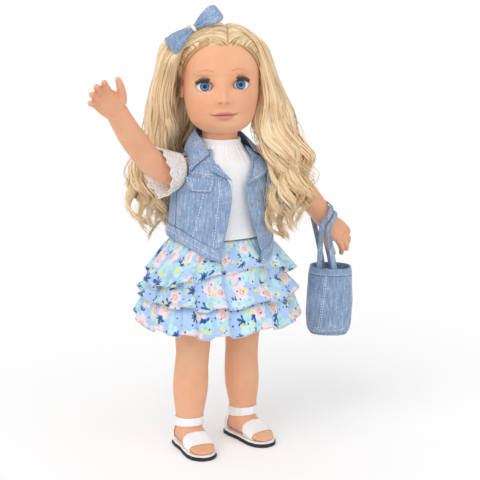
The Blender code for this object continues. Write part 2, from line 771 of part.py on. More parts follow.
def make_arm(side):
    word = WORDS[side]
    parent = ARMS[side]
    path = [arm_point(side, r[0] * ARM_LENGTH, r[1] * ARM_LENGTH) for r in ARM_SHARES]
    radii = [r[2] * ARM_RADIUS for r in ARM_SHARES]
    arm = loft(word + "_arm", path_rings(path, radii, 10), SKIN, parent)
    joins = [
        ball(
            word + "_shoulder_ball",
            (0.0, 0.0, 0.0),
            [SHOULDER_BALL_RADIUS] * 3,
            12,
            8,
            None,
            parent,
            CUTTERS,
        )
    ]
    inner_end = side * (ARM_FLANGE_X - SHOULDER_X)
    joins.append(
        cylinder(
            word + "_arm_stub",
            (inner_end * 0.5, 0.0, 0.0),
            JOINT_STUB_RADIUS,
            abs(inner_end),
            (1.0, 0.0, 0.0),
            12,
            None,
            parent,
            CUTTERS,
        )
    )
    joins.append(
        cylinder(
            word + "_arm_flange",
            (inner_end, 0.0, 0.0),
            JOINT_FLANGE_RADIUS,
            JOINT_FLANGE_THICKNESS,
            (1.0, 0.0, 0.0),
            12,
            None,
            parent,
            CUTTERS,
        )
    )
    wrist, along, thumb, palm = hand_frame(side)
    rings = [
        ellipse(
            wrist + along * (s * HAND_LENGTH) + thumb * (shift * HAND_HALF_WIDTH),
            wide * HAND_HALF_WIDTH,
            thick * HAND_HALF_THICKNESS,
            10,
            thumb,
            palm,
        )
        for s, wide, thick, shift in PALM_SHARES
    ]
    joins.append(loft(word + "_palm", rings, None, parent, collection=CUTTERS))
    for number, (deep, place, length, size, spread) in enumerate(FINGER_SHARES):
        start = wrist + along * (HAND_LENGTH * deep) + thumb * (place * HAND_HALF_WIDTH)
        points = [start]
        for bend in FINGER_BENDS[side]:
            ahead = (along + thumb * spread).normalized()
            step = ahead * math.cos(bend) + palm * math.sin(bend)
            points.append(points[-1] + step * (FINGER_LENGTH * length * 0.40))
        points.append(points[-1] + step * (FINGER_RADIUS * 0.45))
        sizes = [FINGER_RADIUS * size * s for s in (1.02, 1.00, 0.92, 0.80, 0.42)]
        joins.append(
            loft(
                "%s_finger_%d" % (word, number),
                path_rings(points, sizes, 8, phase_axis=tuple(thumb)),
                None,
                parent,
                collection=CUTTERS,
            )
        )
    points = [
        wrist
        + along * (s * HAND_LENGTH)
        + thumb * (t * HAND_HALF_WIDTH)
        + palm * (HAND_HALF_THICKNESS * 0.35)
        for s, t, _ in THUMB_SHARES
    ]
    points.append(points[-1] + (points[-1] - points[-2]) * 0.22)
    sizes = [FINGER_RADIUS * r for _, _, r in THUMB_SHARES]
    sizes.append(sizes[-1] * 0.45)
    joins.append(
        loft(
            word + "_thumb",
            path_rings(points, sizes, 8, phase_axis=tuple(palm)),
            None,
            parent,
            collection=CUTTERS,
        )
    )
    for piece in joins:
        combine(arm, as_cutter(piece), "UNION")
    return arm


# Legs and sandals
def leg_rows():
    """Height, centre x (out from the hip pivot), centre y and radius from hip to ankle."""
    rows = []
    for share, size in THIGH_SHARES:
        height = KNEE_HEIGHT + share * (HIP_HEIGHT - KNEE_HEIGHT)
        x = KNEE_X + (HIP_X - KNEE_X) * share
        radius = KNEE_RADIUS + (THIGH_RADIUS * size - KNEE_RADIUS) * min(share * 1.15, 1.0)
        rows.append((height, x, 0.0, radius))
    rows.append((KNEE_HEIGHT + (HIP_HEIGHT - KNEE_HEIGHT) * 0.22, KNEE_X, 0.0, KNEE_RADIUS * 1.08))
    rows.append((KNEE_HEIGHT, KNEE_X, 0.0, KNEE_RADIUS))
    span = KNEE_HEIGHT - ANKLE_HEIGHT
    for share, size in ((0.80, 0.955), (0.60, 1.0), (0.42, 0.985), (0.22, 0.87)):
        x = ANKLE_X + (KNEE_X - ANKLE_X) * share
        rows.append((ANKLE_HEIGHT + span * share, x, CALF_RADIUS * 0.10 * share, CALF_RADIUS * size))
    rows.append((ANKLE_HEIGHT + span * 0.06, ANKLE_X, 0.0, ANKLE_RADIUS * 1.02))
    rows.append((ANKLE_HEIGHT * 0.80, ANKLE_X, 0.0, ANKLE_RADIUS))
    rows.append((ANKLE_HEIGHT * 0.56, ANKLE_X, 0.0, ANKLE_RADIUS * 0.90))
    return rows


def leg_ring(side, row, grow, count):
    height, x, y, radius = row
    return ellipse(
        (side * (x - HIP_X), y, height - HIP_HEIGHT),
        radius + grow,
        radius + grow,
        count,
    )


def foot_rings(side, grow, count):
    """Rings across the foot from heel to toe, standing on the footbed."""
    floor = OUTSOLE_THICKNESS + FOOTBED_THICKNESS + CLEARANCE
    turn = Matrix.Rotation(side * TOE_OUT, 3, "Z")
    origin = Vector((side * (ANKLE_X - HIP_X), 0.0, -HIP_HEIGHT))
    rings = []
    for share, wide, top in FOOT_SHARES:
        y = FOOT_LENGTH * (0.315 - share)
        y += grow * (1.0 - 2.0 * share) if share in (0.0, 1.0) else 0.0
        half_high = (FOOT_HEIGHT * top - floor) * 0.5
        points = ellipse(
            (0.0, y, 0.0),
            wide * FOOT_HALF_WIDTH + grow,
            half_high + grow,
            count,
            (1, 0, 0),
            (0, 0, 1),
            2.6,
        )
        ring = []
        for point in points:
            point = turn @ point
            ring.append(origin + point + Vector((0.0, 0.0, floor + half_high)))
        rings.append(ring)
    return rings


def make_leg(side):
    word = WORDS[side]
    parent = LEGS[side]
    rows = leg_rows()
    leg = loft(word + "_leg", [leg_ring(side, r, 0.0, 14) for r in rows], SKIN, parent)
    joins = [
        ball(
            word + "_hip_ball",
            (0.0, 0.0, 0.0),
            [HIP_BALL_RADIUS] * 3,
            12,
            8,
            None,
            parent,
            CUTTERS,
        ),
        loft(word + "_foot", foot_rings(side, 0.0, 12), None, parent, collection=CUTTERS),
    ]
    inner_end = side * (LEG_FLANGE_X - HIP_X)
    joins.append(
        cylinder(
            word + "_leg_stub",
            (inner_end * 0.5, 0.0, 0.0),
            JOINT_STUB_RADIUS,
            abs(inner_end),
            (1.0, 0.0, 0.0),
            12,
            None,
            parent,
            CUTTERS,
        )
    )
    for piece in joins:
        combine(leg, as_cutter(piece), "UNION")
    return leg


def sole_slab(name, side, low, high, inset, mat):
    """A slab cut to the sole outline."""
    turn = Matrix.Rotation(side * TOE_OUT, 3, "Z")
    origin = Vector((side * (ANKLE_X - HIP_X), 0.0, -HIP_HEIGHT))
    left, right = [], []
    length = SANDAL_LENGTH - 2.0 * inset
    for share, wide in SOLE_SHARES:
        y = SANDAL_LENGTH * 0.325 - inset - share * length
        half = SANDAL_HALF_WIDTH * wide - inset
        left.append(Vector((-half, y, 0.0)))
        right.append(Vector((half, y, 0.0)))
    outline = left + right[::-1]
    rings = []
    for height, shrink in ((low, 0.985), (low + (high - low) * 0.3, 1.0), (high, 1.0)):
        rings.append(
            [
                origin + turn @ Vector((p.x * shrink, p.y, 0.0)) + Vector((0.0, 0.0, height))
                for p in outline
            ]
        )
    return loft(name, rings, mat, LEGS[side], smooth=False)


def strap_region(name, side, corners, half_width):
    """A prism across the foot, drawn in its side view as (y, z) corners."""
    turn = Matrix.Rotation(side * TOE_OUT, 3, "Z")
    origin = Vector((side * (ANKLE_X - HIP_X), 0.0, -HIP_HEIGHT))
    rings = []
    for x in (-half_width, half_width):
        rings.append([origin + turn @ Vector((x, y, z)) for y, z in corners])
    return loft(name, rings, None, LEGS[side], smooth=False, collection=CUTTERS)


def foot_skin(name, side, grow, mat, collection):
    """Foot and lower leg together, grown by a gap or by a strap."""
    rows = [r for r in leg_rows() if r[0] < ANKLE_HEIGHT + (KNEE_HEIGHT - ANKLE_HEIGHT) * 0.30]
    rows = rows[::-1]
    shank = loft(
        name + "_shank",
        [leg_ring(side, r, grow, 14) for r in rows],
        None,
        LEGS[side],
        collection=CUTTERS,
    )
    foot = loft(name, foot_rings(side, grow, 12), mat, LEGS[side], collection=collection)
    combine(foot, as_cutter(shank), "UNION")
    return foot


def make_strap(name, side, corners):
    outer = foot_skin(name, side, STRAP_THICKNESS + CLEARANCE, STRAP_WHITE, MODEL)
    inner = foot_skin(name + "_inside", side, CLEARANCE, None, CUTTERS)
    region = strap_region(name + "_region", side, corners, SANDAL_HALF_WIDTH * 1.5)
    combine(outer, as_cutter(region), "INTERSECT")
    combine(outer, as_cutter(inner), "DIFFERENCE")
    for polygon in outer.data.polygons:
        polygon.use_smooth = False
    return outer


def make_sandal(side):
    word = WORDS[side]
    sole_slab(word + "_outsole", side, 0.0, OUTSOLE_THICKNESS, 0.0, RUBBER)
    top = OUTSOLE_THICKNESS + FOOTBED_THICKNESS
    low = OUTSOLE_THICKNESS + CLEARANCE * 0.5
    sole_slab(word + "_footbed", side, low, top, CLEARANCE * 2.0, FOOTBED)
    base = top + CLEARANCE * 1.4
    toe_front = -FOOT_LENGTH * 0.520
    toe_back = toe_front + TOE_STRAP_WIDTH
    make_strap(
        word + "_toe_strap",
        side,
        (
            (toe_front, base),
            (toe_back, base),
            (toe_back + TOE_STRAP_WIDTH * 0.10, FOOT_HEIGHT),
            (toe_front + TOE_STRAP_WIDTH * 0.10, FOOT_HEIGHT),
        ),
    )
    strap_top = ANKLE_HEIGHT + ANKLE_STRAP_WIDTH * 0.55
    make_strap(
        word + "_ankle_strap",
        side,
        (
            (FOOT_LENGTH * 0.50, base),
            (FOOT_LENGTH * 0.185, base),
            (FOOT_LENGTH * 0.110, strap_top - ANKLE_STRAP_WIDTH * 1.32),
            (-FOOT_LENGTH * 0.45, strap_top - ANKLE_STRAP_WIDTH * 0.66),
            (-FOOT_LENGTH * 0.45, strap_top + ANKLE_STRAP_WIDTH * 0.30),
            (FOOT_LENGTH * 0.50, strap_top - ANKLE_STRAP_WIDTH * 0.25),
        ),
    )


# Head and eyes
def head_ring(share, count, grow=0.0):
    """Ring of the head at a share from -1 (chin) to +1 (crown), in the head's own frame."""
    reach = HEAD_UP if share > 0.0 else HEAD_DOWN
    height = HEAD_MIDDLE + share * (reach + grow) - NECK_TOP_HEIGHT
    power = 2.1 if share > 0.0 else 2.45
    size = max(1.0 - abs(share) ** power, 0.0) ** (1.0 / power)
    forward = -0.10 * HEAD_HALF_DEPTH * max(-share, 0.0)
    points = ellipse(
        (0.0, forward, height),
        size * (HEAD_HALF_WIDTH + grow),
        size * (HEAD_HALF_DEPTH + grow),
        count,
        power=2.15,
    )
    if grow > 0.0:
        return points
    level = EYE_HEIGHT - NECK_TOP_HEIGHT
    for point in points:
        if point.y > 0.0:
            continue
        push = 0.0
        for x, z, out, wide, tall in FACE_BUMP_SHARES:
            dx = (point.x / HEAD_HALF_WIDTH - x) / wide
            dz = ((point.z - level) / HEAD_HALF_WIDTH - z) / tall
            push += out * math.exp(-0.5 * (dx * dx + dz * dz))
        point.y -= push * HEAD_HALF_WIDTH
    return points


def ear_ball(name, side, grow):
    level = EYE_HEIGHT - NECK_TOP_HEIGHT - EAR_HALF_HEIGHT * 0.95
    return ball(
        name,
        (side * HEAD_HALF_WIDTH * 0.985, EAR_HALF_DEPTH * 0.35, level),
        (EAR_HALF_THICKNESS + grow, EAR_HALF_DEPTH + grow, EAR_HALF_HEIGHT + grow),
        10,
        6,
        None,
        HEAD,
        CUTTERS,
    )


def make_head():
    head = loft("head_shell", [head_ring(s, 24) for s in HEAD_LEVELS], SKIN, HEAD)
    inner_rings = []
    for share in HEAD_HOLLOW_LEVELS:
        ring = head_ring(share, 12)
        middle = Vector((0.0, 0.0, ring[0].z))
        inner_rings.append([middle + (p - middle) * 0.90 for p in ring])
    hollow = loft("head_hollow", inner_rings, None, HEAD, collection=CUTTERS)
    for side in (-1, 1):
        ear = ear_ball("ear_" + WORDS[side], side, 0.0)
        combine(head, as_cutter(ear), "UNION")
    combine(head, as_cutter(hollow), "DIFFERENCE")
    hole = cylinder(
        "neck_hole",
        (0.0, 0.0, 0.0),
        NECK_RADIUS + CLEARANCE,
        HEAD_DOWN * 0.9,
        (0.0, 0.0, 1.0),
        28,
        None,
        HEAD,
        CUTTERS,
    )
    combine(head, as_cutter(hole), "DIFFERENCE")
    for side in (-1, 1):
        word = WORDS[side]
        centre = Vector((side * EYE_X, EYE_Y, EYE_HEIGHT - NECK_TOP_HEIGHT))
        seat = ball(
            "eye_seat_" + word,
            centre,
            [EYEBALL_RADIUS + CLEARANCE] * 3,
            12,
            8,
            None,
            HEAD,
            CUTTERS,
        )
        combine(head, as_cutter(seat), "DIFFERENCE")
        rings = []
        for y, size in ((-HEAD_HALF_DEPTH * 1.3, 1.0), (EYE_Y, 1.0)):
            rings.append(
                ellipse(
                    (centre.x, y, centre.z),
                    EYE_OPENING_HALF_WIDTH * size,
                    EYE_OPENING_HALF_HEIGHT * size,
                    16,
                    (1, 0, 0),
                    (0, 0, 1),
                )
            )
        window = loft("eye_window_" + word, rings, None, HEAD, collection=CUTTERS)
        combine(head, as_cutter(window), "DIFFERENCE")
    return head


def make_eyes():
    for side in (-1, 1):
        word = WORDS[side]
        ball(
            word + "_eyeball",
            (side * EYE_X, 0.0, 0.0),
            [EYEBALL_RADIUS] * 3,
            12,
            8,
            EYE_WHITE,
            EYES,
        )
        outer, inner = [], []
        for row in range(3):
            lift = math.radians(LASH_LIFT_DEGREES + 3.0 * row)
            reach = EYEBALL_RADIUS + CLEARANCE + LASH_LENGTH * row * 0.5
            near, far = [], []
            for column in range(7):
                sweep = side * math.radians(LASH_SWEEP_DEGREES * (column / 6.0 - 0.36))
                for store, extra in ((near, 0.0), (far, LASH_THICKNESS)):
                    direction = Vector(
                        (
                            math.sin(sweep) * math.cos(lift),
                            -math.cos(sweep) * math.cos(lift),
                            math.sin(lift),
                        )
                    )
                    point = direction * reach + Vector((side * EYE_X, 0.0, extra))
                    store.append(point)
            inner.append(near)
            outer.append(far)
        sheet_solid(word + "_lash", outer, inner, LASH_BROWN, EYES)
    cylinder(
        "eye_axle",
        (0.0, 0.0, 0.0),
        EYE_AXLE_RADIUS,
        2.0 * (EYE_X - EYEBALL_RADIUS - CLEARANCE),
        (1.0, 0.0, 0.0),
        10,
        STEEL,
        EYES,
    )
    arm = path_rings(
        [
            (0.0, EYE_AXLE_RADIUS + CLEARANCE, -EYE_AXLE_RADIUS * 0.5),
            (0.0, EYEBALL_RADIUS * 0.9, -EYEBALL_RADIUS * 0.35),
            (0.0, EYEBALL_RADIUS * 1.5, -EYEBALL_RADIUS * 0.9),
        ],
        [EYE_AXLE_RADIUS] * 3,
        8,
        phase_axis=(1.0, 0.0, 0.0),
    )
    weight = loft("eye_weight", arm, LEAD, EYES)
    bob = ball(
        "eye_weight_bob",
        (0.0, EYEBALL_RADIUS * 1.65, -EYEBALL_RADIUS * 1.15),
        [EYE_WEIGHT_RADIUS] * 3,
        12,
        8,
        None,
        EYES,
        CUTTERS,
    )
    combine(weight, as_cutter(bob), "UNION")


# Hair and bow
def make_hair_cap():
    cap = loft("hair_cap", [head_ring(s, 18, HAIR_THICKNESS) for s in CAP_LEVELS], HAIR, HEAD)
    inner = loft(
        "hair_cap_inside",
        [head_ring(s, 18, CLEARANCE * 4.0) for s in (-0.85,) + CAP_LEVELS],
        None,
        HEAD,
        collection=CUTTERS,
    )
    combine(cap, as_cutter(inner), "DIFFERENCE")
    reach = HEAD_HALF_WIDTH * 3.0
    level = EYE_HEIGHT - NECK_TOP_HEIGHT
    front = (-HEAD_HALF_DEPTH * 0.86, level + HEAD_UP * 0.90)
    back = (HEAD_HALF_DEPTH * 0.30, level - HEAD_DOWN * 0.55)
    corners = (
        front,
        back,
        (back[0], level - reach),
        (-reach, level - reach),
        (-reach, front[1] + HEAD_UP * 0.12),
    )
    rings = []
    for x in (-reach, reach):
        rings.append([Vector((x, y, z)) for y, z in corners])
    face = loft("face_opening", rings, None, HEAD, smooth=False, collection=CUTTERS)
    combine(cap, as_cutter(face), "DIFFERENCE")
    for side in (-1, 1):
        room = ear_ball("ear_room_" + WORDS[side], side, CLEARANCE * 3.0)
        combine(cap, as_cutter(room), "DIFFERENCE")
    return cap


def cap_room():
    """The space of the hair cap, taken out of the hanging hair."""
    levels = (-0.97, -0.80) + CAP_LEVELS
    grow = HAIR_THICKNESS + CLEARANCE * 0.8
    rings = [head_ring(s, 18, grow) for s in levels]
    room = loft("hair_cap_room", rings, None, HEAD, collection=CUTTERS)
    return as_cutter(room)


def make_fall(name, table, sway, lobes, room):
    """A hanging mass of wavy hair with a lobed section."""
    top = HEAD_MIDDLE + HEAD_UP * 0.30
    levels = ((0.55, SHOULDER_HEIGHT), (0.10, top - HAIR_LENGTH * 0.10))
    rings = []
    count = 16
    for row, (share, across, back, wide, deep) in enumerate(table):
        shift = math.sin(share * 11.0 + sway) * HAIR_LENGTH * 0.010
        height = top - share * HAIR_LENGTH
        if share > levels[0][0]:
            height = SHOULDER_HEIGHT - (share - levels[0][0]) * HAIR_LENGTH
        elif share > levels[1][0]:
            height = height_at(levels, share)
        middle = Vector((across * HAIR_LENGTH + shift, back * HAIR_LENGTH, height))
        ring = []
        for point in ellipse(middle, wide * HAIR_LENGTH, deep * HAIR_LENGTH, count):
            angle = math.atan2(point.y - middle.y, point.x - middle.x)
            lobe = 1.0 + 0.07 * math.cos(lobes * angle + share * 9.0)
            ring.append(middle + (point - middle) * lobe)
        rings.append(ring)
    return combine(loft(name, rings, HAIR, DOLL), room, "DIFFERENCE")


def make_bow():
    """Two flat loops and the white tape round the gathers, on the right front of the head."""
    place = Vector((-HEAD_HALF_WIDTH * 0.757, -HEAD_HALF_DEPTH * 0.455, 0.0))
    place.z = HEAD_MIDDLE - NECK_TOP_HEIGHT + HEAD_UP * 1.000
    along = Vector((0.80, 0.02, 0.60)).normalized()
    outward = Vector((-0.35, -0.78, 0.52))
    outward = (outward - along * outward.dot(along)).normalized()
    across = along.cross(outward)
    for side in (-1, 1):
        rings = []
        for length, wide, thick in BOW_SHARES:
            droop = -0.10 * BOW_LOOP_LENGTH * length * length
            start = BOW_KNOT_WIDTH * 0.5
            middle = place + along * side * (start + length * BOW_LOOP_LENGTH) + outward * droop
            rings.append(
                ellipse(
                    middle,
                    wide * BOW_LOOP_HALF_WIDTH,
                    thick * BOW_LOOP_HALF_THICKNESS,
                    12,
                    across,
                    outward,
                )
            )
        name = "bow_lower_loop" if side < 0 else "bow_upper_loop"
        loft(name, rings, DENIM, HEAD)
    rings = []
    for share, size in ((-0.5, 0.9), (-0.3, 1.0), (0.3, 1.0), (0.5, 0.9)):
        rings.append(
            ellipse(
                place + along * (share * BOW_KNOT_WIDTH),
                BOW_KNOT_RADIUS * size,
                BOW_KNOT_RADIUS * size,
                12,
                across,
                outward,
            )
        )
    loft("bow_band", rings, WHITE_TAPE, HEAD)


# Knit top
def ease(height):
    """How far the knit stands off the torso: close at the chest, loose over the waistband."""
    share = (WAIST_HEIGHT + KNIT_EASE * 14.0 - height) / (KNIT_EASE * 14.0)
    return KNIT_EASE + max(min(share, 1.0), 0.0) * KNIT_EASE * 5.0


def top_ring(height, grow, count):
    wide, deep = torso_half(height)
    off = ease(height) + grow
    across = HEAD_X * min(max((height - SHOULDER_HEIGHT) / (NECK_TOP_HEIGHT - SHOULDER_HEIGHT), 0.0), 1.0)
    return ellipse(
        (across, shifted_y(height), height), wide + off, deep + off, count, power=SECTION_POWER
    )


def make_top():
    heights = [WAIST_HEIGHT - KNIT_EASE * 5.0, WAIST_HEIGHT + KNIT_EASE * 4.0]
    heights += [height_at(TORSO_LEVELS, r[0]) for r in TORSO_SHARES if 0.45 < r[0] < 0.86]
    heights += [height_at(TORSO_LEVELS, 0.882)]
    outer = [top_ring(h, KNIT_THICKNESS, 24) for h in heights]
    inner = [top_ring(h, 0.0, 24) for h in heights]
    top = tube_solid("knit_top", outer, inner, KNIT, DOLL)
    for side in (-1, 1):
        hole = ball(
            "sleeve_hole_" + WORDS[side],
            (side * SHOULDER_X, SHOULDER_Y, SHOULDER_HEIGHT),
            [SLEEVE_ROOT_RADIUS + SLEEVE_THICKNESS + CLEARANCE * 3.6] * 3,
            16,
            8,
            None,
            DOLL,
            CUTTERS,
        )
        combine(top, as_cutter(hole), "DIFFERENCE")
    return top


def make_sleeve(side):
    """Lace flutter sleeve round the top of the arm, with a scalloped edge."""
    outer, inner = [], []
    count = 24
    for share in (0.0, 0.5, 1.0):
        start = SHOULDER_X - SLEEVE_ROOT_RADIUS * 0.40 + share * SLEEVE_LENGTH
        radius = SLEEVE_ROOT_RADIUS + SLEEVE_FLARE * share
        near, far = [], []
        for i in range(count):
            angle = math.tau * i / count
            wave = math.cos(angle * 6.0) * share * share
            size = radius + wave * SLEEVE_THICKNESS * 1.4
            x = start + (1.0 - math.cos(angle)) * (1.0 - share) * SLEEVE_ROOT_RADIUS * 0.083
            out = side * (x + wave * SLEEVE_LENGTH * 0.07 + math.cos(angle) * share * 0.12 * SLEEVE_LENGTH)
            for store, extra in ((near, 0.0), (far, SLEEVE_THICKNESS)):
                store.append(
                    Vector(
                        (
                            out,
                            SHOULDER_Y + (size + extra) * math.sin(angle),
                            SHOULDER_HEIGHT + (size + extra) * math.cos(angle),
                        )
                    )
                )
        inner.append(near)
        outer.append(far)
    tube_solid(WORDS[side] + "_lace_sleeve", outer, inner, LACE, DOLL)


# Vest
def vest_point(angle, height, off):
    """Point on the vest at an angle (0 = doll's left, -90 degrees = front) and a height."""
    share = share_at(VEST_LEVELS, height)
    wide = blend(VEST_SHARES, share, 1) * VEST_HALF_WIDTH + off
    deep = blend(VEST_SHARES, share, 2) * VEST_HALF_DEPTH + off
    c, s = math.cos(angle), math.sin(angle)
    x = math.copysign(abs(c) ** (2.0 / SECTION_POWER), c) * wide
    y = math.copysign(abs(s) ** (2.0 / SECTION_POWER), s) * deep
    across = HEAD_X * min(max((share - 0.8) * 5.0, 0.0), 1.0)
    return Vector((x + across, y + shifted_y(height), height))


def hem_height(angle):
    """The hem falls towards the front edge."""
    front = max(-math.sin(angle), 0.0)
    return VEST_SIDE_HEM_HEIGHT - VEST_FRONT_DROP * front * front


def vest_panel(name, start, end, columns, levels, low_off=0.0, off=0.0):
    """Panel between two edge functions that give the angle for a height share."""
    outer, inner = [], []
    for level in levels:
        far, near = [], []
        for i in range(columns + 1):
            first, last = start(level), end(level)
            angle = math.radians(first + (last - first) * i / columns)
            low = hem_height(angle) + low_off
            height = low + (VEST_TOP_HEIGHT - low) * level
            far.append(vest_point(angle, height, off))
            near.append(vest_point(angle, height, off - DENIM_THICKNESS))
        outer.append(far)
        inner.append(near)
    return sheet_solid(name, outer, inner, DENIM, DOLL)


def armhole(side):
    return ball(
        "vest_armhole_" + WORDS[side],
        (side * SHOULDER_X, SHOULDER_Y, SHOULDER_HEIGHT),
        [ARMHOLE_RADIUS] * 3,
        16,
        8,
        None,
        DOLL,
        CUTTERS,
    )


def make_vest():
    band = VEST_BAND_HEIGHT + CLEARANCE
    holes = {side: as_cutter(armhole(side)) for side in (-1, 1)}

    def right_front(level):
        return blend(RIGHT_EDGE_DEGREES, level, 1)

    def left_front(level):
        return blend(LEFT_EDGE_DEGREES, level, 1)

    right = vest_panel(
        "vest_front_right", lambda level: -180.0 + SEAM_DEGREES, right_front, 7, PANEL_LEVELS, band
    )
    left = vest_panel(
        "vest_front_left", left_front, lambda level: -SEAM_DEGREES, 7, PANEL_LEVELS, band
    )
    back = vest_panel(
        "vest_back",
        lambda level: SEAM_DEGREES,
        lambda level: 180.0 - SEAM_DEGREES,
        12,
        PANEL_LEVELS,
        band,
    )
    combine(right, holes[-1], "DIFFERENCE")
    combine(left, holes[1], "DIFFERENCE")
    for side in (-1, 1):
        combine(back, holes[side], "DIFFERENCE")


def make_vest_band():
    """One hem band from the right front edge round the back to the left front edge."""
    outer, inner = [], []
    for share in (0.0, 0.55, 1.0):
        far, near = [], []
        columns = 26
        start, end = RIGHT_EDGE_DEGREES[0][1], LEFT_EDGE_DEGREES[0][1] - 360.0
        for i in range(columns + 1):
            angle = math.radians(start + (end - start) * i / columns)
            height = hem_height(angle) + VEST_BAND_HEIGHT * share
            far.append(vest_point(angle, height, DENIM_THICKNESS * 0.35))
            near.append(vest_point(angle, height, -DENIM_THICKNESS * 0.85))
        outer.append(far)
        inner.append(near)
    sheet_solid("vest_hem_band", outer, inner, DENIM, DOLL)


def make_collar():
    """The turned-down collar: a fold line round the neck and a free edge lying on the vest."""
    rows_out, rows_in = [], []
    for share in (0.0, 0.4, 0.75, 1.0):
        far, near = [], []
        for column in range(COLLAR_COLUMNS + 1):
            first, last = COLLAR_SHARES[0][0], COLLAR_SHARES[-1][0]
            at = first + (last - first) * column / COLLAR_COLUMNS
            size, drop, free_degrees, level = (blend(COLLAR_SHARES, at, k) for k in (1, 2, 3, 4))
            angle = math.radians(at)
            radius = COLLAR_RADIUS * size
            fold = Vector(
                (
                    HEAD_X + radius * math.cos(angle),
                    NECK_Y + radius * math.sin(angle),
                    COLLAR_HEIGHT - drop * COLLAR_WIDTH,
                )
            )
            height = height_at(VEST_LEVELS, level)
            free = vest_point(math.radians(free_degrees), height, DENIM_THICKNESS * 1.1)
            place = fold.lerp(free, share)
            outward = Vector((place.x - HEAD_X, place.y - NECK_Y, 0.0)).normalized()
            outward = (outward + Vector((0.0, 0.0, 1.1))).normalized()
            bulge = math.sin(math.pi * share) * DENIM_THICKNESS * 2.0
            near.append(place + outward * bulge)
            far.append(place + outward * (bulge + DENIM_THICKNESS))
        rows_out.append(far)
        rows_in.append(near)
    sheet_solid("vest_collar", rows_out, rows_in, DENIM, DOLL)


def surface_patch(name, corners, columns, rows, off, mat=DENIM):
    """A four-cornered patch lying on the vest: top outer, top inner, bottom outer, bottom inner."""
    outer, inner = [], []
    for j in range(rows + 1):
        v = j / rows
        far, near = [], []
        for i in range(columns + 1):
            u = i / columns
            top = [corners[0][k] + (corners[1][k] - corners[0][k]) * u for k in (0, 1)]
            bottom = [corners[2][k] + (corners[3][k] - corners[2][k]) * u for k in (0, 1)]
            angle = math.radians(top[0] + (bottom[0] - top[0]) * v)
            height = height_at(VEST_LEVELS, top[1] + (bottom[1] - top[1]) * v)
            near.append(vest_point(angle, height, off))
            far.append(vest_point(angle, height, off + DENIM_THICKNESS))
        outer.append(far)
        inner.append(near)
    return sheet_solid(name, outer, inner, mat, DOLL)


def make_vest_trim():
    off = CLEARANCE * 2.0
    surface_patch("vest_right_lapel", RIGHT_LAPEL, 4, 5, off)
    surface_patch("vest_left_lapel", LEFT_LAPEL, 4, 5, off)
    height = POCKET_FLAP_HEIGHT / (VEST_TOP_HEIGHT - VEST_SIDE_HEM_HEIGHT + VEST_FRONT_DROP)
    for side, middle in ((-1, -141.0), (1, -39.0)):
        half = math.degrees(POCKET_FLAP_WIDTH / (VEST_HALF_WIDTH + VEST_HALF_DEPTH))
        first = middle - half
        last = middle + half
        top, low = FLAP_TOP_SHARE, FLAP_TOP_SHARE - height
        taper = half * 0.25
        corners = ((first, top), (last, top), (first + taper, low), (last - taper, low))
        surface_patch("vest_%s_pocket_flap" % WORDS[side], corners, 6, 3, off)


# Skirt
def ruffle(angle, amount):
    """Radial folds of the cloth, the same for every tier so that they nest."""
    return amount * (
        math.cos(RUFFLE_COUNT * angle + 0.2) * 0.74 + math.cos(5.0 * angle + 0.7) * 0.38
    )


def tier(name, rows):
    """rows: height, half width, half depth, fold depth, front lift and side shift, seam to hem."""
    outer, inner = [], []
    for height, wide, deep, amount, lift, shift in rows:
        far, near = [], []
        for i in range(TIER_COLUMNS):
            angle = math.tau * i / TIER_COLUMNS
            push = ruffle(angle, amount)
            c, s = math.cos(angle), math.sin(angle)
            z = height + lift * s * s + push * 0.25
            for store, extra in ((far, 0.0), (near, -SKIRT_THICKNESS)):
                x = math.copysign(abs(c) ** (2.0 / SECTION_POWER), c) * (wide + push + extra)
                y = math.copysign(abs(s) ** (2.0 / SECTION_POWER), s) * (deep + push + extra)
                store.append(Vector((x + shift, y, z)))
        outer.append(far)
        inner.append(near)
    return tube_solid(name, outer, inner, PRINT, DOLL)


def tier_row(share_row, top, hem, top_half, hem_half, lift=0.0, shift=0.0):
    """One row of a tier between its seam and its hem, after a row of shares."""
    drop, widen, deepen, fold = share_row
    return (
        top + (hem - top) * drop,
        top_half[0] + (hem_half[0] - top_half[0]) * widen,
        top_half[1] + (hem_half[1] - top_half[1]) * deepen,
        RUFFLE_DEPTH * fold,
        lift * drop,
        shift * drop,
    )


def sewn_inside(row):
    """The top row of a tier that is sewn to the inside of a row of the tier above."""
    inset = SKIRT_THICKNESS + CLEARANCE
    return (row[0], row[1] - inset, row[2] - inset) + tuple(row[3:])


def waistband_ring(height, grow):
    half_wide, half_deep = torso_half(height)
    grow += WAISTBAND_EASE
    return ellipse((0.0, 0.0, height), half_wide + grow, half_deep + grow, 24, power=SECTION_POWER)


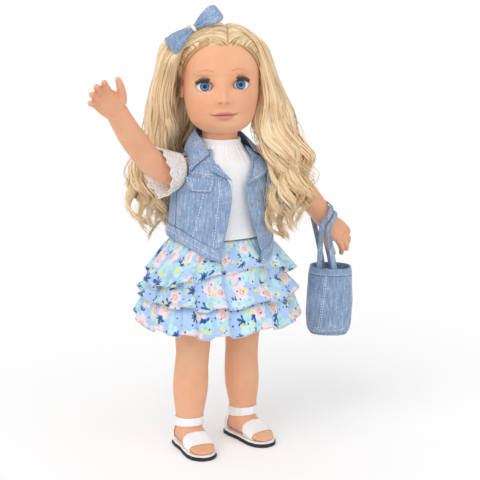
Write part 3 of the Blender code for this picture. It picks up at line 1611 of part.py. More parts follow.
def make_skirt():
    base = height_at(TORSO_LEVELS, TORSO_SHARES[6][0])
    heights = (base, WAIST_HEIGHT, SKIRT_TOP_HEIGHT)
    outer = [waistband_ring(height, SKIRT_THICKNESS) for height in heights]
    inner = [waistband_ring(height, 0.0) for height in heights]
    tube_solid("skirt_waistband", outer, inner, PRINT, DOLL)
    grow = WAISTBAND_EASE + SKIRT_THICKNESS * 2.0
    low_wide, low_deep = torso_half(base)
    half = (low_wide + grow, low_deep + grow)
    hem = (TOP_TIER_HALF_WIDTH, TOP_TIER_HALF_DEPTH)
    top_rows = []
    for row in TOP_TIER_SHARES:
        place = (base - CLEARANCE, TOP_TIER_HEM_HEIGHT, half, hem)
        top_rows.append(tier_row(row, *place, TOP_TIER_FRONT_LIFT, TOP_TIER_SIDE_SHIFT))
    tier("skirt_top_tier", top_rows)
    half = (MID_TIER_TOP_HALF_WIDTH, MID_TIER_TOP_HALF_DEPTH)
    hem = (MID_TIER_HALF_WIDTH, MID_TIER_HALF_DEPTH)
    mid_rows = [sewn_inside(top_rows[2])]
    for row in MID_TIER_SHARES:
        mid_rows.append(tier_row(row, MID_TIER_TOP_HEIGHT, MID_TIER_HEM_HEIGHT, half, hem))
    tier("skirt_middle_tier", mid_rows)
    half = (LOW_TIER_TOP_HALF_WIDTH, LOW_TIER_TOP_HALF_DEPTH)
    hem = (LOW_TIER_HALF_WIDTH, LOW_TIER_HALF_DEPTH)
    low_rows = [sewn_inside(mid_rows[1])]
    for row in LOW_TIER_SHARES:
        low_rows.append(tier_row(row, LOW_TIER_TOP_HEIGHT, LOW_TIER_HEM_HEIGHT, half, hem))
    tier("skirt_bottom_tier", low_rows)


# Bag
def bag_pivot():
    """Pivot on the left wrist, turned back so that the bag hangs plumb."""
    wrist = arm_point(1, ARM_SHARES[-1][0] * ARM_LENGTH, ARM_SHARES[-1][1] * ARM_LENGTH)
    return pivot("pivot_bag", ARMS[1], wrist, (LEFT_ARM_RAISE, 0.0, 0.0))


def bag_ring(row, grow, count, base):
    share, wide, deep = row
    turn = Matrix.Rotation(BAG_YAW, 3, "Z")
    ring = ellipse(
        (0.0, 0.0, 0.0),
        wide * BAG_HALF_WIDTH + grow,
        deep * BAG_HALF_DEPTH + grow,
        count,
        power=2.5,
    )
    shift = Vector((BAG_SIDE_SHIFT, 0.0, 0.0))
    return [turn @ (p + shift) + Vector((0.0, 0.0, base + share * BAG_HEIGHT)) for p in ring]


def wrist_axes():
    """Direction of the left wrist, the level direction square to it and the upward one."""
    wrist, along, thumb, palm = hand_frame(1)
    turn = Matrix.Rotation(-LEFT_ARM_RAISE, 3, "X")
    along = (turn @ along).normalized()
    level = Vector((0.0, 0.0, 1.0)).cross(along).normalized()
    upward = level.cross(along)
    if upward.z < 0.0:
        upward = -upward
    return along, level, upward


def strap(name, shares, parent):
    """A flat strap from the near rim, round the wrist and down to the far rim."""
    near_x, near_y, far_x, far_y, place, top_reach, front, rear = shares
    turn = Matrix.Rotation(BAG_YAW, 3, "Z")
    along, level, upward = wrist_axes()
    rim = -BAG_RIM_DROP
    sewn = rim - BAG_HEM_HEIGHT * 1.5
    middle = along * (place * WRIST_RADIUS)
    offset = turn @ Vector((BAG_SIDE_SHIFT, 0.0, 0.0))
    near = offset + turn @ Vector((near_x * BAG_HALF_WIDTH, near_y * BAG_HALF_DEPTH, 0.0))
    far = offset + turn @ Vector((far_x * BAG_HALF_WIDTH, far_y * BAG_HALF_DEPTH, 0.0))
    low = Vector((0.0, 0.0, sewn))
    high = Vector((0.0, 0.0, rim + BAG_HEM_HEIGHT * 0.4))
    points = [near + low, near + high]
    for degrees in (-118, -90, -60, -30, 0, 30, 60, 90):
        angle = math.radians(degrees)
        reach = top_reach + (front if angle < 0.0 else rear) * abs(math.sin(angle))
        reach *= WRIST_RADIUS
        points.append(middle + upward * (reach * math.cos(angle)) + level * (reach * math.sin(angle)))
    points += [far + high, far + low]
    across = turn @ Vector((1.0, 0.0, 0.0))
    rings = []
    last = len(points) - 1
    for i, point in enumerate(points):
        ahead = points[min(i + 1, last)] - points[max(i - 1, 0)]
        ahead.normalize()
        part = min(i, last - i) / 2.0
        guide = across.lerp(along, min(part, 1.0))
        wide = (guide - ahead * guide.dot(ahead)).normalized()
        thick = ahead.cross(wide)
        a = wide * (BAG_STRAP_WIDTH * 0.5)
        b = thick * (BAG_STRAP_THICKNESS * 0.5)
        rings.append([point + a + b, point - a + b, point - a - b, point + a - b])
    return loft(name, rings, DENIM, parent, smooth=False)


def make_bag():
    parent = bag_pivot()
    base = -BAG_HANG
    count = 20
    wall = BAG_CLOTH_THICKNESS
    body_rows = [r for r in BAG_SHARES if r[0] > 0.02]
    top_share = 1.0 - (BAG_HEM_HEIGHT + CLEARANCE) / BAG_HEIGHT
    rows = [r for r in body_rows if r[0] < top_share]
    rows.append((top_share, blend(BAG_SHARES, top_share, 1), blend(BAG_SHARES, top_share, 2)))
    outer = [bag_ring(r, 0.0, count, base) for r in rows]
    inner = [bag_ring(r, -wall, count, base) for r in rows]
    tube_solid("bag_body", outer, inner, DENIM, parent)
    hem_rows = [
        (s, blend(BAG_SHARES, s, 1), blend(BAG_SHARES, s, 2))
        for s in (1.0 - BAG_HEM_HEIGHT / BAG_HEIGHT, 1.0 - BAG_HEM_HEIGHT * 0.4 / BAG_HEIGHT, 1.0)
    ]
    outer = [bag_ring(r, wall * 0.3, count, base) for r in hem_rows]
    inner = [bag_ring(r, -wall * 1.1, count, base) for r in hem_rows]
    tube_solid("bag_hem", outer, inner, DENIM, parent)
    low = BAG_SHARES[1]
    inset = -wall * 0.2
    loft(
        "bag_bottom",
        [
            bag_ring((0.0, low[1] * 0.94, low[2] * 0.94), inset, count, base),
            bag_ring((low[0] - CLEARANCE / BAG_HEIGHT, low[1], low[2]), inset, count, base),
        ],
        DENIM,
        parent,
    )
    for name, shares in zip(("bag_near_handle", "bag_far_handle"), HANDLE_SHARES):
        strap(name, shares, parent)


# Assembly
def stand_at_origin():
    """Moves the doll so that the box round all its pieces stands on the origin."""
    bpy.context.view_layer.update()
    graph = bpy.context.evaluated_depsgraph_get()
    low, high = [math.inf] * 3, [-math.inf] * 3
    for piece in MODEL.objects:
        if piece.type != "MESH":
            continue
        solid = piece.evaluated_get(graph)
        for vertex in solid.data.vertices:
            point = solid.matrix_world @ vertex.co
            low = [min(a, b) for a, b in zip(low, point)]
            high = [max(a, b) for a, b in zip(high, point)]
    DOLL.location = (-(low[0] + high[0]) * 0.5, -(low[1] + high[1]) * 0.5, -low[2])


make_torso()
make_neck_plug()
make_head()
make_eyes()
make_hair_cap()
cap_space = cap_room()
make_fall("hair_back_fall", BACK_FALL_SHARES, 0.0, 5, cap_space)
make_fall("hair_right_fall", RIGHT_FALL_SHARES, 1.0, 3, cap_space)
make_fall("hair_left_fall", LEFT_FALL_SHARES, 2.2, 3, cap_space)
make_bow()
make_top()
for each_side in (-1, 1):
    make_arm(each_side)
    make_leg(each_side)
    make_sandal(each_side)
    make_sleeve(each_side)
make_vest()
make_vest_band()
make_collar()
make_vest_trim()
make_skirt()
make_bag()
stand_at_origin()
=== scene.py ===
# %% [markdown]
# # A jointed play doll in a denim vest
#
# This lesson dresses and finishes a doll whose solid parts come from a imported CAD model. The CAD
# holds every size and joint. Here each visible surface gets its real look: soft vinyl, rooted
# hair, washed denim, printed cotton, lace and small sandals. Most new pieces ride on a CAD body,
# so the doll can still turn its head, raise its arms and swing its bag; the hair's falls, the lace
# sleeves and the bag's handles do not.

import math
import random

import bmesh
import bpy
import numpy as np
from mathutils import Matrix, Vector, noise
from mathutils.bvhtree import BVHTree


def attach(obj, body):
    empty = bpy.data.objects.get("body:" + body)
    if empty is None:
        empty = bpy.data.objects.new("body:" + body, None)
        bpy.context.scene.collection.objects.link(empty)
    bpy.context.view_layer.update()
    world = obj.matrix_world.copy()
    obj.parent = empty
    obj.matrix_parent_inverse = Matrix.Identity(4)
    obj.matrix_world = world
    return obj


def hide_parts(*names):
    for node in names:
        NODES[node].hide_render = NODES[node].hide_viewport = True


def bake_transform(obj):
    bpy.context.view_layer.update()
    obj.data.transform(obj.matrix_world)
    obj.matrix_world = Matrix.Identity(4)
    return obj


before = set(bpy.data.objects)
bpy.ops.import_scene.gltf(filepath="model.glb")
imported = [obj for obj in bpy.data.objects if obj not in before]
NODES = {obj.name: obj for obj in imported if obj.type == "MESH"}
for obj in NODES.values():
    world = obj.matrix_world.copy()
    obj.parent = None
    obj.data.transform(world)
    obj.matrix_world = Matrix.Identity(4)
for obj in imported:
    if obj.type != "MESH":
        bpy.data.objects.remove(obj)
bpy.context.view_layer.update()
MM = 0.001

# %% [markdown]
# ## Camera
#
# The photograph is a product shot from a little above, taken from the doll's front right. A long
# lens keeps the feet and the head at one scale. The camera could be placed by eye, but known
# heights on the doll give its distance and angle, so it is worked out from those and then turned
# by a small roll.

# %% Camera
VIEW_DEGREES = -34.0
VIEW_ABOVE_DEGREES = 13.0
VIEW_ROLL_DEGREES = 1.3
VIEW_DISTANCE = 1.5
VIEW_SPAN = 0.508
VIEW_HEIGHT = 0.2255
VIEW_SHIFT = 0.0219
SENSOR = 36.0


def add_camera():
    """The photograph's camera, looking at the middle of the doll."""
    turn, rise = math.radians(VIEW_DEGREES), math.radians(VIEW_ABOVE_DEGREES)
    back = Vector(
        (math.sin(turn) * math.cos(rise), -math.cos(turn) * math.cos(rise), math.sin(rise))
    )
    right = Vector((math.cos(turn), math.sin(turn), 0.0))
    up = right.cross(-back)
    roll = math.radians(VIEW_ROLL_DEGREES)
    side = right * math.cos(roll) + up * math.sin(roll)
    top = up * math.cos(roll) - right * math.sin(roll)
    bpy.ops.object.camera_add()
    camera = bpy.context.object
    camera.name = "photo_camera"
    camera.data.sensor_width = SENSOR
    camera.data.lens = SENSOR * VIEW_DISTANCE / VIEW_SPAN
    place = Vector((0.0, 0.0, VIEW_HEIGHT)) + right * VIEW_SHIFT + back * VIEW_DISTANCE
    camera.matrix_world = Matrix(
        (
            (side.x, top.x, back.x, place.x),
            (side.y, top.y, back.y, place.y),
            (side.z, top.z, back.z, place.z),
            (0.0, 0.0, 0.0, 1.0),
        )
    )
    bpy.context.scene.camera = camera
    return right, back


VIEW_RIGHT, VIEW_BACK = add_camera()
print("lens in mm:", round(bpy.context.scene.camera.data.lens, 1))

# %% [markdown]
# ## Floor and light
#
# A product photo has no hard shadows: light comes from large white panels all round. A bright
# even world gives that, and two broad suns give the soft modelling on the face. Area lamps would
# fade over the floor, so suns are used. The floor is a pale sheet that keeps the doll's shadow,
# lifted to white only for what the camera and mirrors see.

# %% Floor and light
WORLD_LIGHT = 0.66
KEY_LIGHT = 1.05
FILL_LIGHT = 0.35
FLOOR_SIZE = 40.0


def add_sun(name, toward, strength, spread_degrees):
    """A soft sun that shines along a direction."""
    bpy.ops.object.light_add(type="SUN")
    sun = bpy.context.object
    sun.name = name
    sun.data.energy = strength
    sun.data.angle = math.radians(spread_degrees)
    sun.rotation_euler = Vector(toward).to_track_quat("-Z", "Y").to_euler()
    return sun


def seen_directly(tree):
    """1 for what the camera, a mirror or glass sees, and 0 for light that bounces."""
    path = tree.nodes.new("ShaderNodeLightPath")
    first = tree.nodes.new("ShaderNodeMath")
    first.operation = "MAXIMUM"
    tree.links.new(path.outputs["Is Camera Ray"], first.inputs[0])
    tree.links.new(path.outputs["Is Glossy Ray"], first.inputs[1])
    second = tree.nodes.new("ShaderNodeMath")
    second.operation = "MAXIMUM"
    tree.links.new(first.outputs[0], second.inputs[0])
    tree.links.new(path.outputs["Is Transmission Ray"], second.inputs[1])
    return second.outputs[0]


def add_world():
    world = bpy.data.worlds.new("studio")
    world.use_nodes = True
    tree = world.node_tree
    light = tree.nodes["Background"]
    light.inputs["Color"].default_value = (1.0, 1.0, 1.0, 1.0)
    lifted = tree.nodes.new("ShaderNodeMapRange")
    lifted.inputs["To Min"].default_value = WORLD_LIGHT
    lifted.inputs["To Max"].default_value = 1.0
    tree.links.new(seen_directly(tree), lifted.inputs["Value"])
    tree.links.new(lifted.outputs[0], light.inputs["Strength"])
    bpy.context.scene.world = world


def add_floor():
    bpy.ops.mesh.primitive_plane_add(size=FLOOR_SIZE)
    floor = bpy.context.object
    floor.name = "studio_floor"
    mat = bpy.data.materials.new("pale_floor")
    mat.use_nodes = True
    tree = mat.node_tree
    tree.nodes.clear()
    paint = tree.nodes.new("ShaderNodeBsdfDiffuse")
    paint.inputs["Color"].default_value = (0.93, 0.93, 0.93, 1.0)
    glow = tree.nodes.new("ShaderNodeEmission")
    lift = tree.nodes.new("ShaderNodeMath")
    lift.operation = "MULTIPLY"
    lift.inputs[1].default_value = 0.16
    tree.links.new(seen_directly(tree), lift.inputs[0])
    tree.links.new(lift.outputs[0], glow.inputs["Strength"])
    both = tree.nodes.new("ShaderNodeAddShader")
    tree.links.new(paint.outputs[0], both.inputs[0])
    tree.links.new(glow.outputs[0], both.inputs[1])
    out = tree.nodes.new("ShaderNodeOutputMaterial")
    tree.links.new(both.outputs[0], out.inputs["Surface"])
    floor.data.materials.append(mat)


add_world()
add_floor()
add_sun("key_sun", -VIEW_BACK - VIEW_RIGHT * -0.55 - Vector((0, 0, 0.75)), KEY_LIGHT, 50.0)
add_sun("fill_sun", -VIEW_BACK - VIEW_RIGHT * 0.9 - Vector((0, 0, 0.25)), FILL_LIGHT, 70.0)
bpy.context.scene.view_settings.view_transform = "Standard"

# %% [markdown]
# ## Helpers for shaping
#
# Most pieces start from the CAD node that they stand for, because its size and place are already
# right. A copy is merged, since a CAD mesh is loose triangles, and then refined with modifiers
# that are applied at once. The other way is to start from nothing, which is kept for what the CAD
# holds only as a plain block, such as the hair.

# %% Helpers for shaping
def deselect():
    bpy.ops.object.select_all(action="DESELECT")


def pick(obj):
    deselect()
    obj.select_set(True)
    bpy.context.view_layer.objects.active = obj


def applied(obj, kind, **settings):
    """Adds a modifier and applies it at once."""
    pick(obj)
    modifier = obj.modifiers.new(kind.title(), kind)
    for key, value in settings.items():
        setattr(modifier, key, value)
    bpy.ops.object.modifier_apply(modifier=modifier.name)
    return obj


def subdivided(obj, levels):
    return applied(obj, "SUBSURF", levels=levels, render_levels=levels)


def copy_of(node, name, quads=True):
    """A merged copy of a CAD node, as quads where its triangles pair up."""
    source = NODES[node]
    mesh = source.data.copy()
    mesh.transform(source.matrix_world)
    mesh.materials.clear()
    obj = bpy.data.objects.new(name, mesh)
    bpy.context.scene.collection.objects.link(obj)
    pick(obj)
    bpy.ops.object.mode_set(mode="EDIT")
    bpy.ops.mesh.select_all(action="SELECT")
    bpy.ops.mesh.remove_doubles(threshold=0.01 * MM)
    if quads:
        bpy.ops.mesh.tris_convert_to_quads(
            face_threshold=math.radians(60.0), shape_threshold=math.radians(80.0)
        )
    bpy.ops.mesh.normals_make_consistent(inside=False)
    bpy.ops.object.mode_set(mode="OBJECT")
    return obj


def creased(obj, degrees=50.0, amount=0.75):
    """Keeps the sharp edges of a piece through its subdivision."""
    bm = bmesh.new()
    bm.from_mesh(obj.data)
    layer = bm.edges.layers.float.get("crease_edge") or bm.edges.layers.float.new("crease_edge")
    for edge in bm.edges:
        if len(edge.link_faces) == 2 and edge.calc_face_angle() > math.radians(degrees):
            edge[layer] = amount
    bm.to_mesh(obj.data)
    bm.free()
    return obj


def points_of(obj):
    points = np.empty(len(obj.data.vertices) * 3)
    obj.data.vertices.foreach_get("co", points)
    return points.reshape(-1, 3)


def move_points(obj, points):
    obj.data.vertices.foreach_set("co", np.ascontiguousarray(points, dtype=np.float32).ravel())
    obj.data.update()


def normals_of(obj):
    normals = np.empty(len(obj.data.vertices) * 3)
    obj.data.vertices.foreach_get("normal", normals)
    return normals.reshape(-1, 3)


def ripple(points, size, seed):
    """Smooth noise between -1 and 1 at each point, with hills of a size in metres."""
    shift = Vector((seed * 3.7, seed * 1.3, seed * 2.1))
    return np.array([noise.noise(Vector(p) / size + shift) for p in points])


def shade_and_fill(obj, mat):
    obj.data.materials.clear()
    obj.data.materials.append(mat)
    for polygon in obj.data.polygons:
        polygon.use_smooth = True


def dressed(obj, mat, body, slot, *nodes):
    """Gives a finished piece its material, its body and the CAD nodes that it stands for."""
    shade_and_fill(obj, mat)
    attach(obj, body)
    if nodes:
        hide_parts(*nodes)
    return obj


def tree_of(*objects):
    """One search tree over several pieces."""
    verts, faces = [], []
    for obj in objects:
        start = len(verts)
        verts += [v.co.copy() for v in obj.data.vertices]
        faces += [[start + v for v in p.vertices] for p in obj.data.polygons]
    return BVHTree.FromPolygons(verts, faces)


def give_values(mesh, values):
    """Stores named values at the points of a mesh, for its finish to read."""
    for name, value in values.items():
        layer = mesh.attributes.new(name, "FLOAT", "POINT")
        layer.data.foreach_set("value", np.asarray(value, dtype=np.float32))


def closed_piece(name, mesh):
    """An object for a closed mesh that is built in code, with its normals turned outwards."""
    obj = bpy.data.objects.new(name, mesh)
    bpy.context.scene.collection.objects.link(obj)
    bm = bmesh.new()
    bm.from_mesh(mesh)
    bmesh.ops.recalc_face_normals(bm, faces=bm.faces)
    bm.to_mesh(mesh)
    bm.free()
    return obj


# %% [markdown]
# ## Helpers for finishes
#
# A finish is a small network of nodes. Writing each link by hand hides what the finish does, so
# a little helper adds a node, joins sockets and hands back the output. Three effects are used by
# several cloths: a weave, a slow unevenness and a scattered printed shape. Each is a node group,
# built once.

# %% Helpers for finishes
def linear(hex_colour):
    """Linear colour of a #RRGGBB value."""
    values = [int(hex_colour[i : i + 2], 16) / 255.0 for i in (1, 3, 5)]
    return tuple(v / 12.92 if v <= 0.04045 else ((v + 0.055) / 1.055) ** 2.4 for v in values)


class Wires:
    """Adds nodes to one tree and joins them."""

    def __init__(self, tree):
        self.tree = tree

    def put(self, target, value):
        if isinstance(value, bpy.types.NodeSocket):
            self.tree.links.new(value, target)
        elif isinstance(value, tuple) and len(value) == 3 and target.type == "RGBA":
            target.default_value = value + (1.0,)
        else:
            target.default_value = value

    def node(self, kind, values=None, **settings):
        made = self.tree.nodes.new(kind)
        for key, value in settings.items():
            setattr(made, key, value)
        for key, value in (values or {}).items():
            self.put(made.inputs[key], value)
        return made

    def math(self, operation, a, b=0.0, c=0.0, clamp=False):
        made = self.node("ShaderNodeMath", {0: a, 1: b, 2: c}, operation=operation)
        made.use_clamp = clamp
        return made.outputs[0]

    def vector(self, operation, a, b=(0.0, 0.0, 0.0)):
        made = self.node("ShaderNodeVectorMath", {0: a, 1: b}, operation=operation)
        return made.outputs["Value" if operation in ("LENGTH", "DOT_PRODUCT") else "Vector"]

    def scaled(self, vector, factors):
        return self.vector("MULTIPLY", vector, factors)

    def mix(self, factor, a, b):
        made = self.node("ShaderNodeMix", data_type="RGBA")
        self.put(made.inputs[0], factor)
        self.put(made.inputs[6], a)
        self.put(made.inputs[7], b)
        return made.outputs[2]

    def noise(self, vector, scale, detail=2.0, rough=0.5):
        values = {"Vector": vector, "Scale": scale, "Detail": detail, "Roughness": rough}
        return self.node("ShaderNodeTexNoise", values).outputs[0]

    def smooth(self, value, low, high):
        """0 below low, 1 above high, smooth between."""
        made = self.node("ShaderNodeMapRange", interpolation_type="SMOOTHSTEP")
        self.put(made.inputs["Value"], value)
        self.put(made.inputs["From Min"], low)
        self.put(made.inputs["From Max"], high)
        return made.outputs[0]

    def bump(self, height, strength, distance, normal=None):
        values = {"Height": height, "Strength": strength, "Distance": distance}
        made = self.node("ShaderNodeBump", values)
        if normal is not None:
            self.put(made.inputs["Normal"], normal)
        return made.outputs[0]

    def place(self):
        return self.node("ShaderNodeTexCoord").outputs["Object"]

    def cloth_place(self):
        return self.node("ShaderNodeUVMap", uv_map="cloth").outputs[0]

    def own(self, name, output="Fac"):
        return self.node("ShaderNodeAttribute", attribute_name=name).outputs[output]

    def group(self, tree, values):
        made = self.tree.nodes.new("ShaderNodeGroup")
        made.node_tree = tree
        for key, value in values.items():
            self.put(made.inputs[key], value)
        return made.outputs


def finish_of(name, roughness, **constants):
    """A material with its wires and its Principled shader, constants set on the shader."""
    mat = bpy.data.materials.new(name)
    mat.use_nodes = True
    shader = mat.node_tree.nodes["Principled BSDF"]
    shader.inputs["Roughness"].default_value = roughness
    for key, value in constants.items():
        shader.inputs[key.replace("_", " ")].default_value = value
    return mat, Wires(mat.node_tree), shader


def group_of(name, inputs, outputs):
    """A node group with named sockets, its wires, and its input and output nodes."""
    tree = bpy.data.node_groups.new(name, "ShaderNodeTree")
    for word, kind in inputs:
        tree.interface.new_socket(word, in_out="INPUT", socket_type="NodeSocket" + kind)
    for word, kind in outputs:
        tree.interface.new_socket(word, in_out="OUTPUT", socket_type="NodeSocket" + kind)
    wires = Wires(tree)
    return tree, wires, wires.node("NodeGroupInput").outputs, wires.node("NodeGroupOutput").inputs


# %% Weave, unevenness and printed shapes
def make_weave():
    """Threads over and under: a height between 0 and 1, drawn slanted for twill."""
    tree, w, given, out = group_of(
        "thread_weave",
        (("Vector", "Vector"), ("Thread", "Float"), ("Slant", "Float")),
        (("Height", "Float"),),
    )
    parts = w.node("ShaderNodeSeparateXYZ", {0: given["Vector"]}).outputs
    turns = w.math("DIVIDE", math.tau, given["Thread"])
    across = w.math("MULTIPLY", parts["X"], turns)
    along = w.math("MULTIPLY", parts["Y"], turns)
    slanted = w.math("ADD", across, w.math("MULTIPLY", along, given["Slant"]))
    warp = w.math("SINE", slanted)
    weft = w.math("SINE", along)
    both = w.math("MULTIPLY", warp, weft)
    w.put(out["Height"], w.math("MULTIPLY_ADD", both, 0.5, 0.5))
    return tree


def make_unevenness():
    """Slow patches and fine fibres in one value round 0.5."""
    tree, w, given, out = group_of(
        "uneven_cloth",
        (("Vector", "Vector"), ("Patch", "Float"), ("Fibre", "Float")),
        (("Tone", "Float"),),
    )
    slow = w.noise(given["Vector"], w.math("DIVIDE", 1.0, given["Patch"]), 3.0, 0.6)
    fine = w.noise(given["Vector"], w.math("DIVIDE", 1.0, given["Fibre"]), 2.0, 0.7)
    w.put(out["Tone"], w.math("MULTIPLY_ADD", w.math("SUBTRACT", fine, slow), 0.55, slow))
    return tree


def make_scatter():
    """One printed shape in each cell of a loose grid: its mask and its shade from the middle."""
    tree, w, given, out = group_of(
        "scattered_shape",
        (
            ("Vector", "Vector"),
            ("Cell", "Float"),
            ("Reach", "Float"),
            ("Petals", "Float"),
            ("Depth", "Float"),
            ("Lean", "Float"),
            ("Keep", "Float"),
            ("Soft", "Float"),
        ),
        (("Mask", "Float"), ("Shade", "Float"), ("Chance", "Float")),
    )
    scale = w.math("DIVIDE", 1.0, given["Cell"])
    values = {"Vector": given["Vector"], "Scale": scale, "Randomness": 0.75}
    cells = w.node("ShaderNodeTexVoronoi", values, voronoi_dimensions="2D").outputs
    chance = w.node("ShaderNodeSeparateColor", {0: cells["Color"]}).outputs
    apart = w.vector("SUBTRACT", given["Vector"], cells["Position"])
    parts = w.node("ShaderNodeSeparateXYZ", {0: apart}).outputs
    flat = w.node("ShaderNodeCombineXYZ", {0: parts["X"], 1: parts["Y"]}).outputs[0]
    distance = w.vector("LENGTH", flat)
    angle = w.math("ARCTAN2", parts["Y"], parts["X"])
    turned = w.math("MULTIPLY_ADD", chance[0], math.tau, angle)
    half_petals = w.math("MULTIPLY", given["Petals"], 0.5)
    wave = w.math("ABSOLUTE", w.math("COSINE", w.math("MULTIPLY", turned, half_petals)))
    petal = w.math("MULTIPLY_ADD", w.math("SUBTRACT", wave, 1.0), given["Depth"], 1.0)
    lean = w.math("MULTIPLY_ADD", w.math("COSINE", turned), given["Lean"], 1.0)
    size = w.math("MULTIPLY_ADD", chance[2], 0.35, 0.75)
    leaned = w.math("MULTIPLY", petal, lean)
    edge = w.math("MULTIPLY", leaned, w.math("MULTIPLY", size, given["Reach"]))
    inside = w.math("SUBTRACT", edge, distance)
    mask = w.math("DIVIDE", inside, given["Soft"], clamp=True)
    kept = w.math("LESS_THAN", chance[1], given["Keep"])
    w.put(out["Mask"], w.math("MULTIPLY", mask, kept))
    w.put(out["Shade"], w.math("DIVIDE", distance, given["Reach"], clamp=True))
    w.put(out["Chance"], chance[0])
    return tree


WEAVE = make_weave()
UNEVEN = make_unevenness()
SCATTER = make_scatter()

# %% [markdown]
# ## Vinyl limbs and body
#
# Arms and legs are rotationally moulded in one soft vinyl piece each, so nothing in them is
# sharp: fingers melt into the palm and the ball of the hip into the thigh. The CAD holds these
# joins as facets. A voxel remesh turns each copy into one even skin, and smoothing rounds it.
# The hand is smoothed far less than the limb, because its fingers are thin.

# %% Vinyl limbs and body
REMESH_ARM = 0.6 * MM
REMESH_LEG = 0.9 * MM
REMESH_TORSO = 1.3 * MM


def make_skin():
    """Warm matt vinyl: light goes a little way in, and the surface has a fine mould grain."""
    mat, w, shader = finish_of(
        "skin_vinyl", 0.50, Specular_IOR_Level=0.32, Subsurface_Weight=0.10, Subsurface_Scale=0.003
    )
    tone = w.smooth(w.noise(w.place(), 30.0, 3.0, 0.6), 0.3, 0.7)
    w.put(shader.inputs["Base Color"], w.mix(tone, linear("#EDAE88"), linear("#F3BA96")))
    grain = w.noise(w.place(), 2400.0, 2.0, 0.6)
    w.put(shader.inputs["Normal"], w.bump(grain, 0.10, 0.1 * MM))
    return mat


def smoothed_where(obj, weights, passes, push=0.0):
    """Smooths the points that have weight, and pushes them out by what the smoothing took."""
    group = obj.vertex_groups.new(name="smooth")
    for step in range(1, 11):
        chosen = np.nonzero(np.round(weights * 10).astype(int) == step)[0]
        if len(chosen):
            group.add(chosen.tolist(), step / 10.0, "REPLACE")
    applied(obj, "SMOOTH", factor=0.5, iterations=passes, vertex_group="smooth")
    move_points(obj, points_of(obj) + normals_of(obj) * (push * weights)[:, None])
    obj.vertex_groups.clear()
    return obj


def moulded(node, name, voxel, passes):
    """A limb as one smooth moulding."""
    obj = copy_of(node, name, quads=False)
    applied(obj, "REMESH", mode="VOXEL", voxel_size=voxel)
    return applied(obj, "SMOOTH", factor=0.5, iterations=passes)


def ramp(values, start, end):
    """0 at start and 1 at end, straight between."""
    return np.clip((values - start) / (end - start), 0.0, 1.0)


SKIN = make_skin()
for word in ("right", "left"):
    arm = moulded(word + "_arm", word + "_arm_vinyl", REMESH_ARM, 14)
    weights = ramp(np.abs(points_of(arm)[:, 0]), 0.132, 0.118)
    smoothed_where(arm, weights, 160, 0.5 * MM)
    dressed(arm, SKIN, word + "_arm", "skin_vinyl", word + "_arm")
    leg = moulded(word + "_leg", word + "_leg_vinyl", REMESH_LEG, 16)
    weights = ramp(points_of(leg)[:, 2], 0.024, 0.040)
    smoothed_where(leg, weights, 110, 0.35 * MM)
    dressed(leg, SKIN, word + "_leg", "skin_vinyl", word + "_leg")
    print(word, "arm and leg points:", len(arm.data.vertices), len(leg.data.vertices))
body = moulded("torso", "torso_vinyl", REMESH_TORSO, 8)
smoothed_where(body, ramp(points_of(body)[:, 2], 0.322, 0.334), 60, 0.3 * MM)
dressed(body, SKIN, "torso", "skin_vinyl", "torso")
NODES["neck_plug"].data.materials.clear()
plug_finish, plug_wires, plug_shader = finish_of("neck_plug_nylon", 0.45)
plug_tone = plug_wires.noise(plug_wires.place(), 300.0)
plug_wires.put(
    plug_shader.inputs["Base Color"],
    plug_wires.mix(plug_tone, linear("#E9E6DC"), linear("#F4F2EC")),
)
NODES["neck_plug"].data.materials.append(plug_finish)

# %% [markdown]
# ## Head
#
# The real head is one hollow vinyl moulding with almond windows for the sleep eyes, and its face
# is sprayed through masks after moulding. It could be sculpted by hand, but a formula keeps it on
# the CAD's own outline: a ball is mapped to the same rings, its points crowd to the face, and
# small bumps raise the nose, lips and lids. The paint is worked out at each point and kept in the
# mesh, so the material only has to read it. Besides the sprayed paint, it holds painted shade in
# the nostrils and in a band round the rims of the eye windows.

# %% Head shape
HEAD_AT = Vector((0.00037, 0.00384, 0.3565))
HEAD_YAW = math.radians(-29.0)
HEAD_TURN = Matrix.Translation(HEAD_AT) @ Matrix.Rotation(HEAD_YAW, 4, "Z")
HEAD_MIDDLE = 0.0450
EYE_LEVEL = 0.0370
HALF_WIDE = 0.0395
HALF_DEEP = 0.0440
UP_REACH = 0.0470
DOWN_REACH = 0.0545
# how square the head is: seen from above, and above and below its middle
LEVEL_POWER = 2.15
UP_POWER = 2.1
DOWN_POWER = 2.45
JAW_DROP = 0.0084
FACE_TILT = math.radians(3.7)
FACE_ORIGIN = (-0.0004, EYE_LEVEL - 0.0006)
EYE_APART = 0.0184
EYE_DEEP = -0.0292
EYE_RADIUS = 0.0094
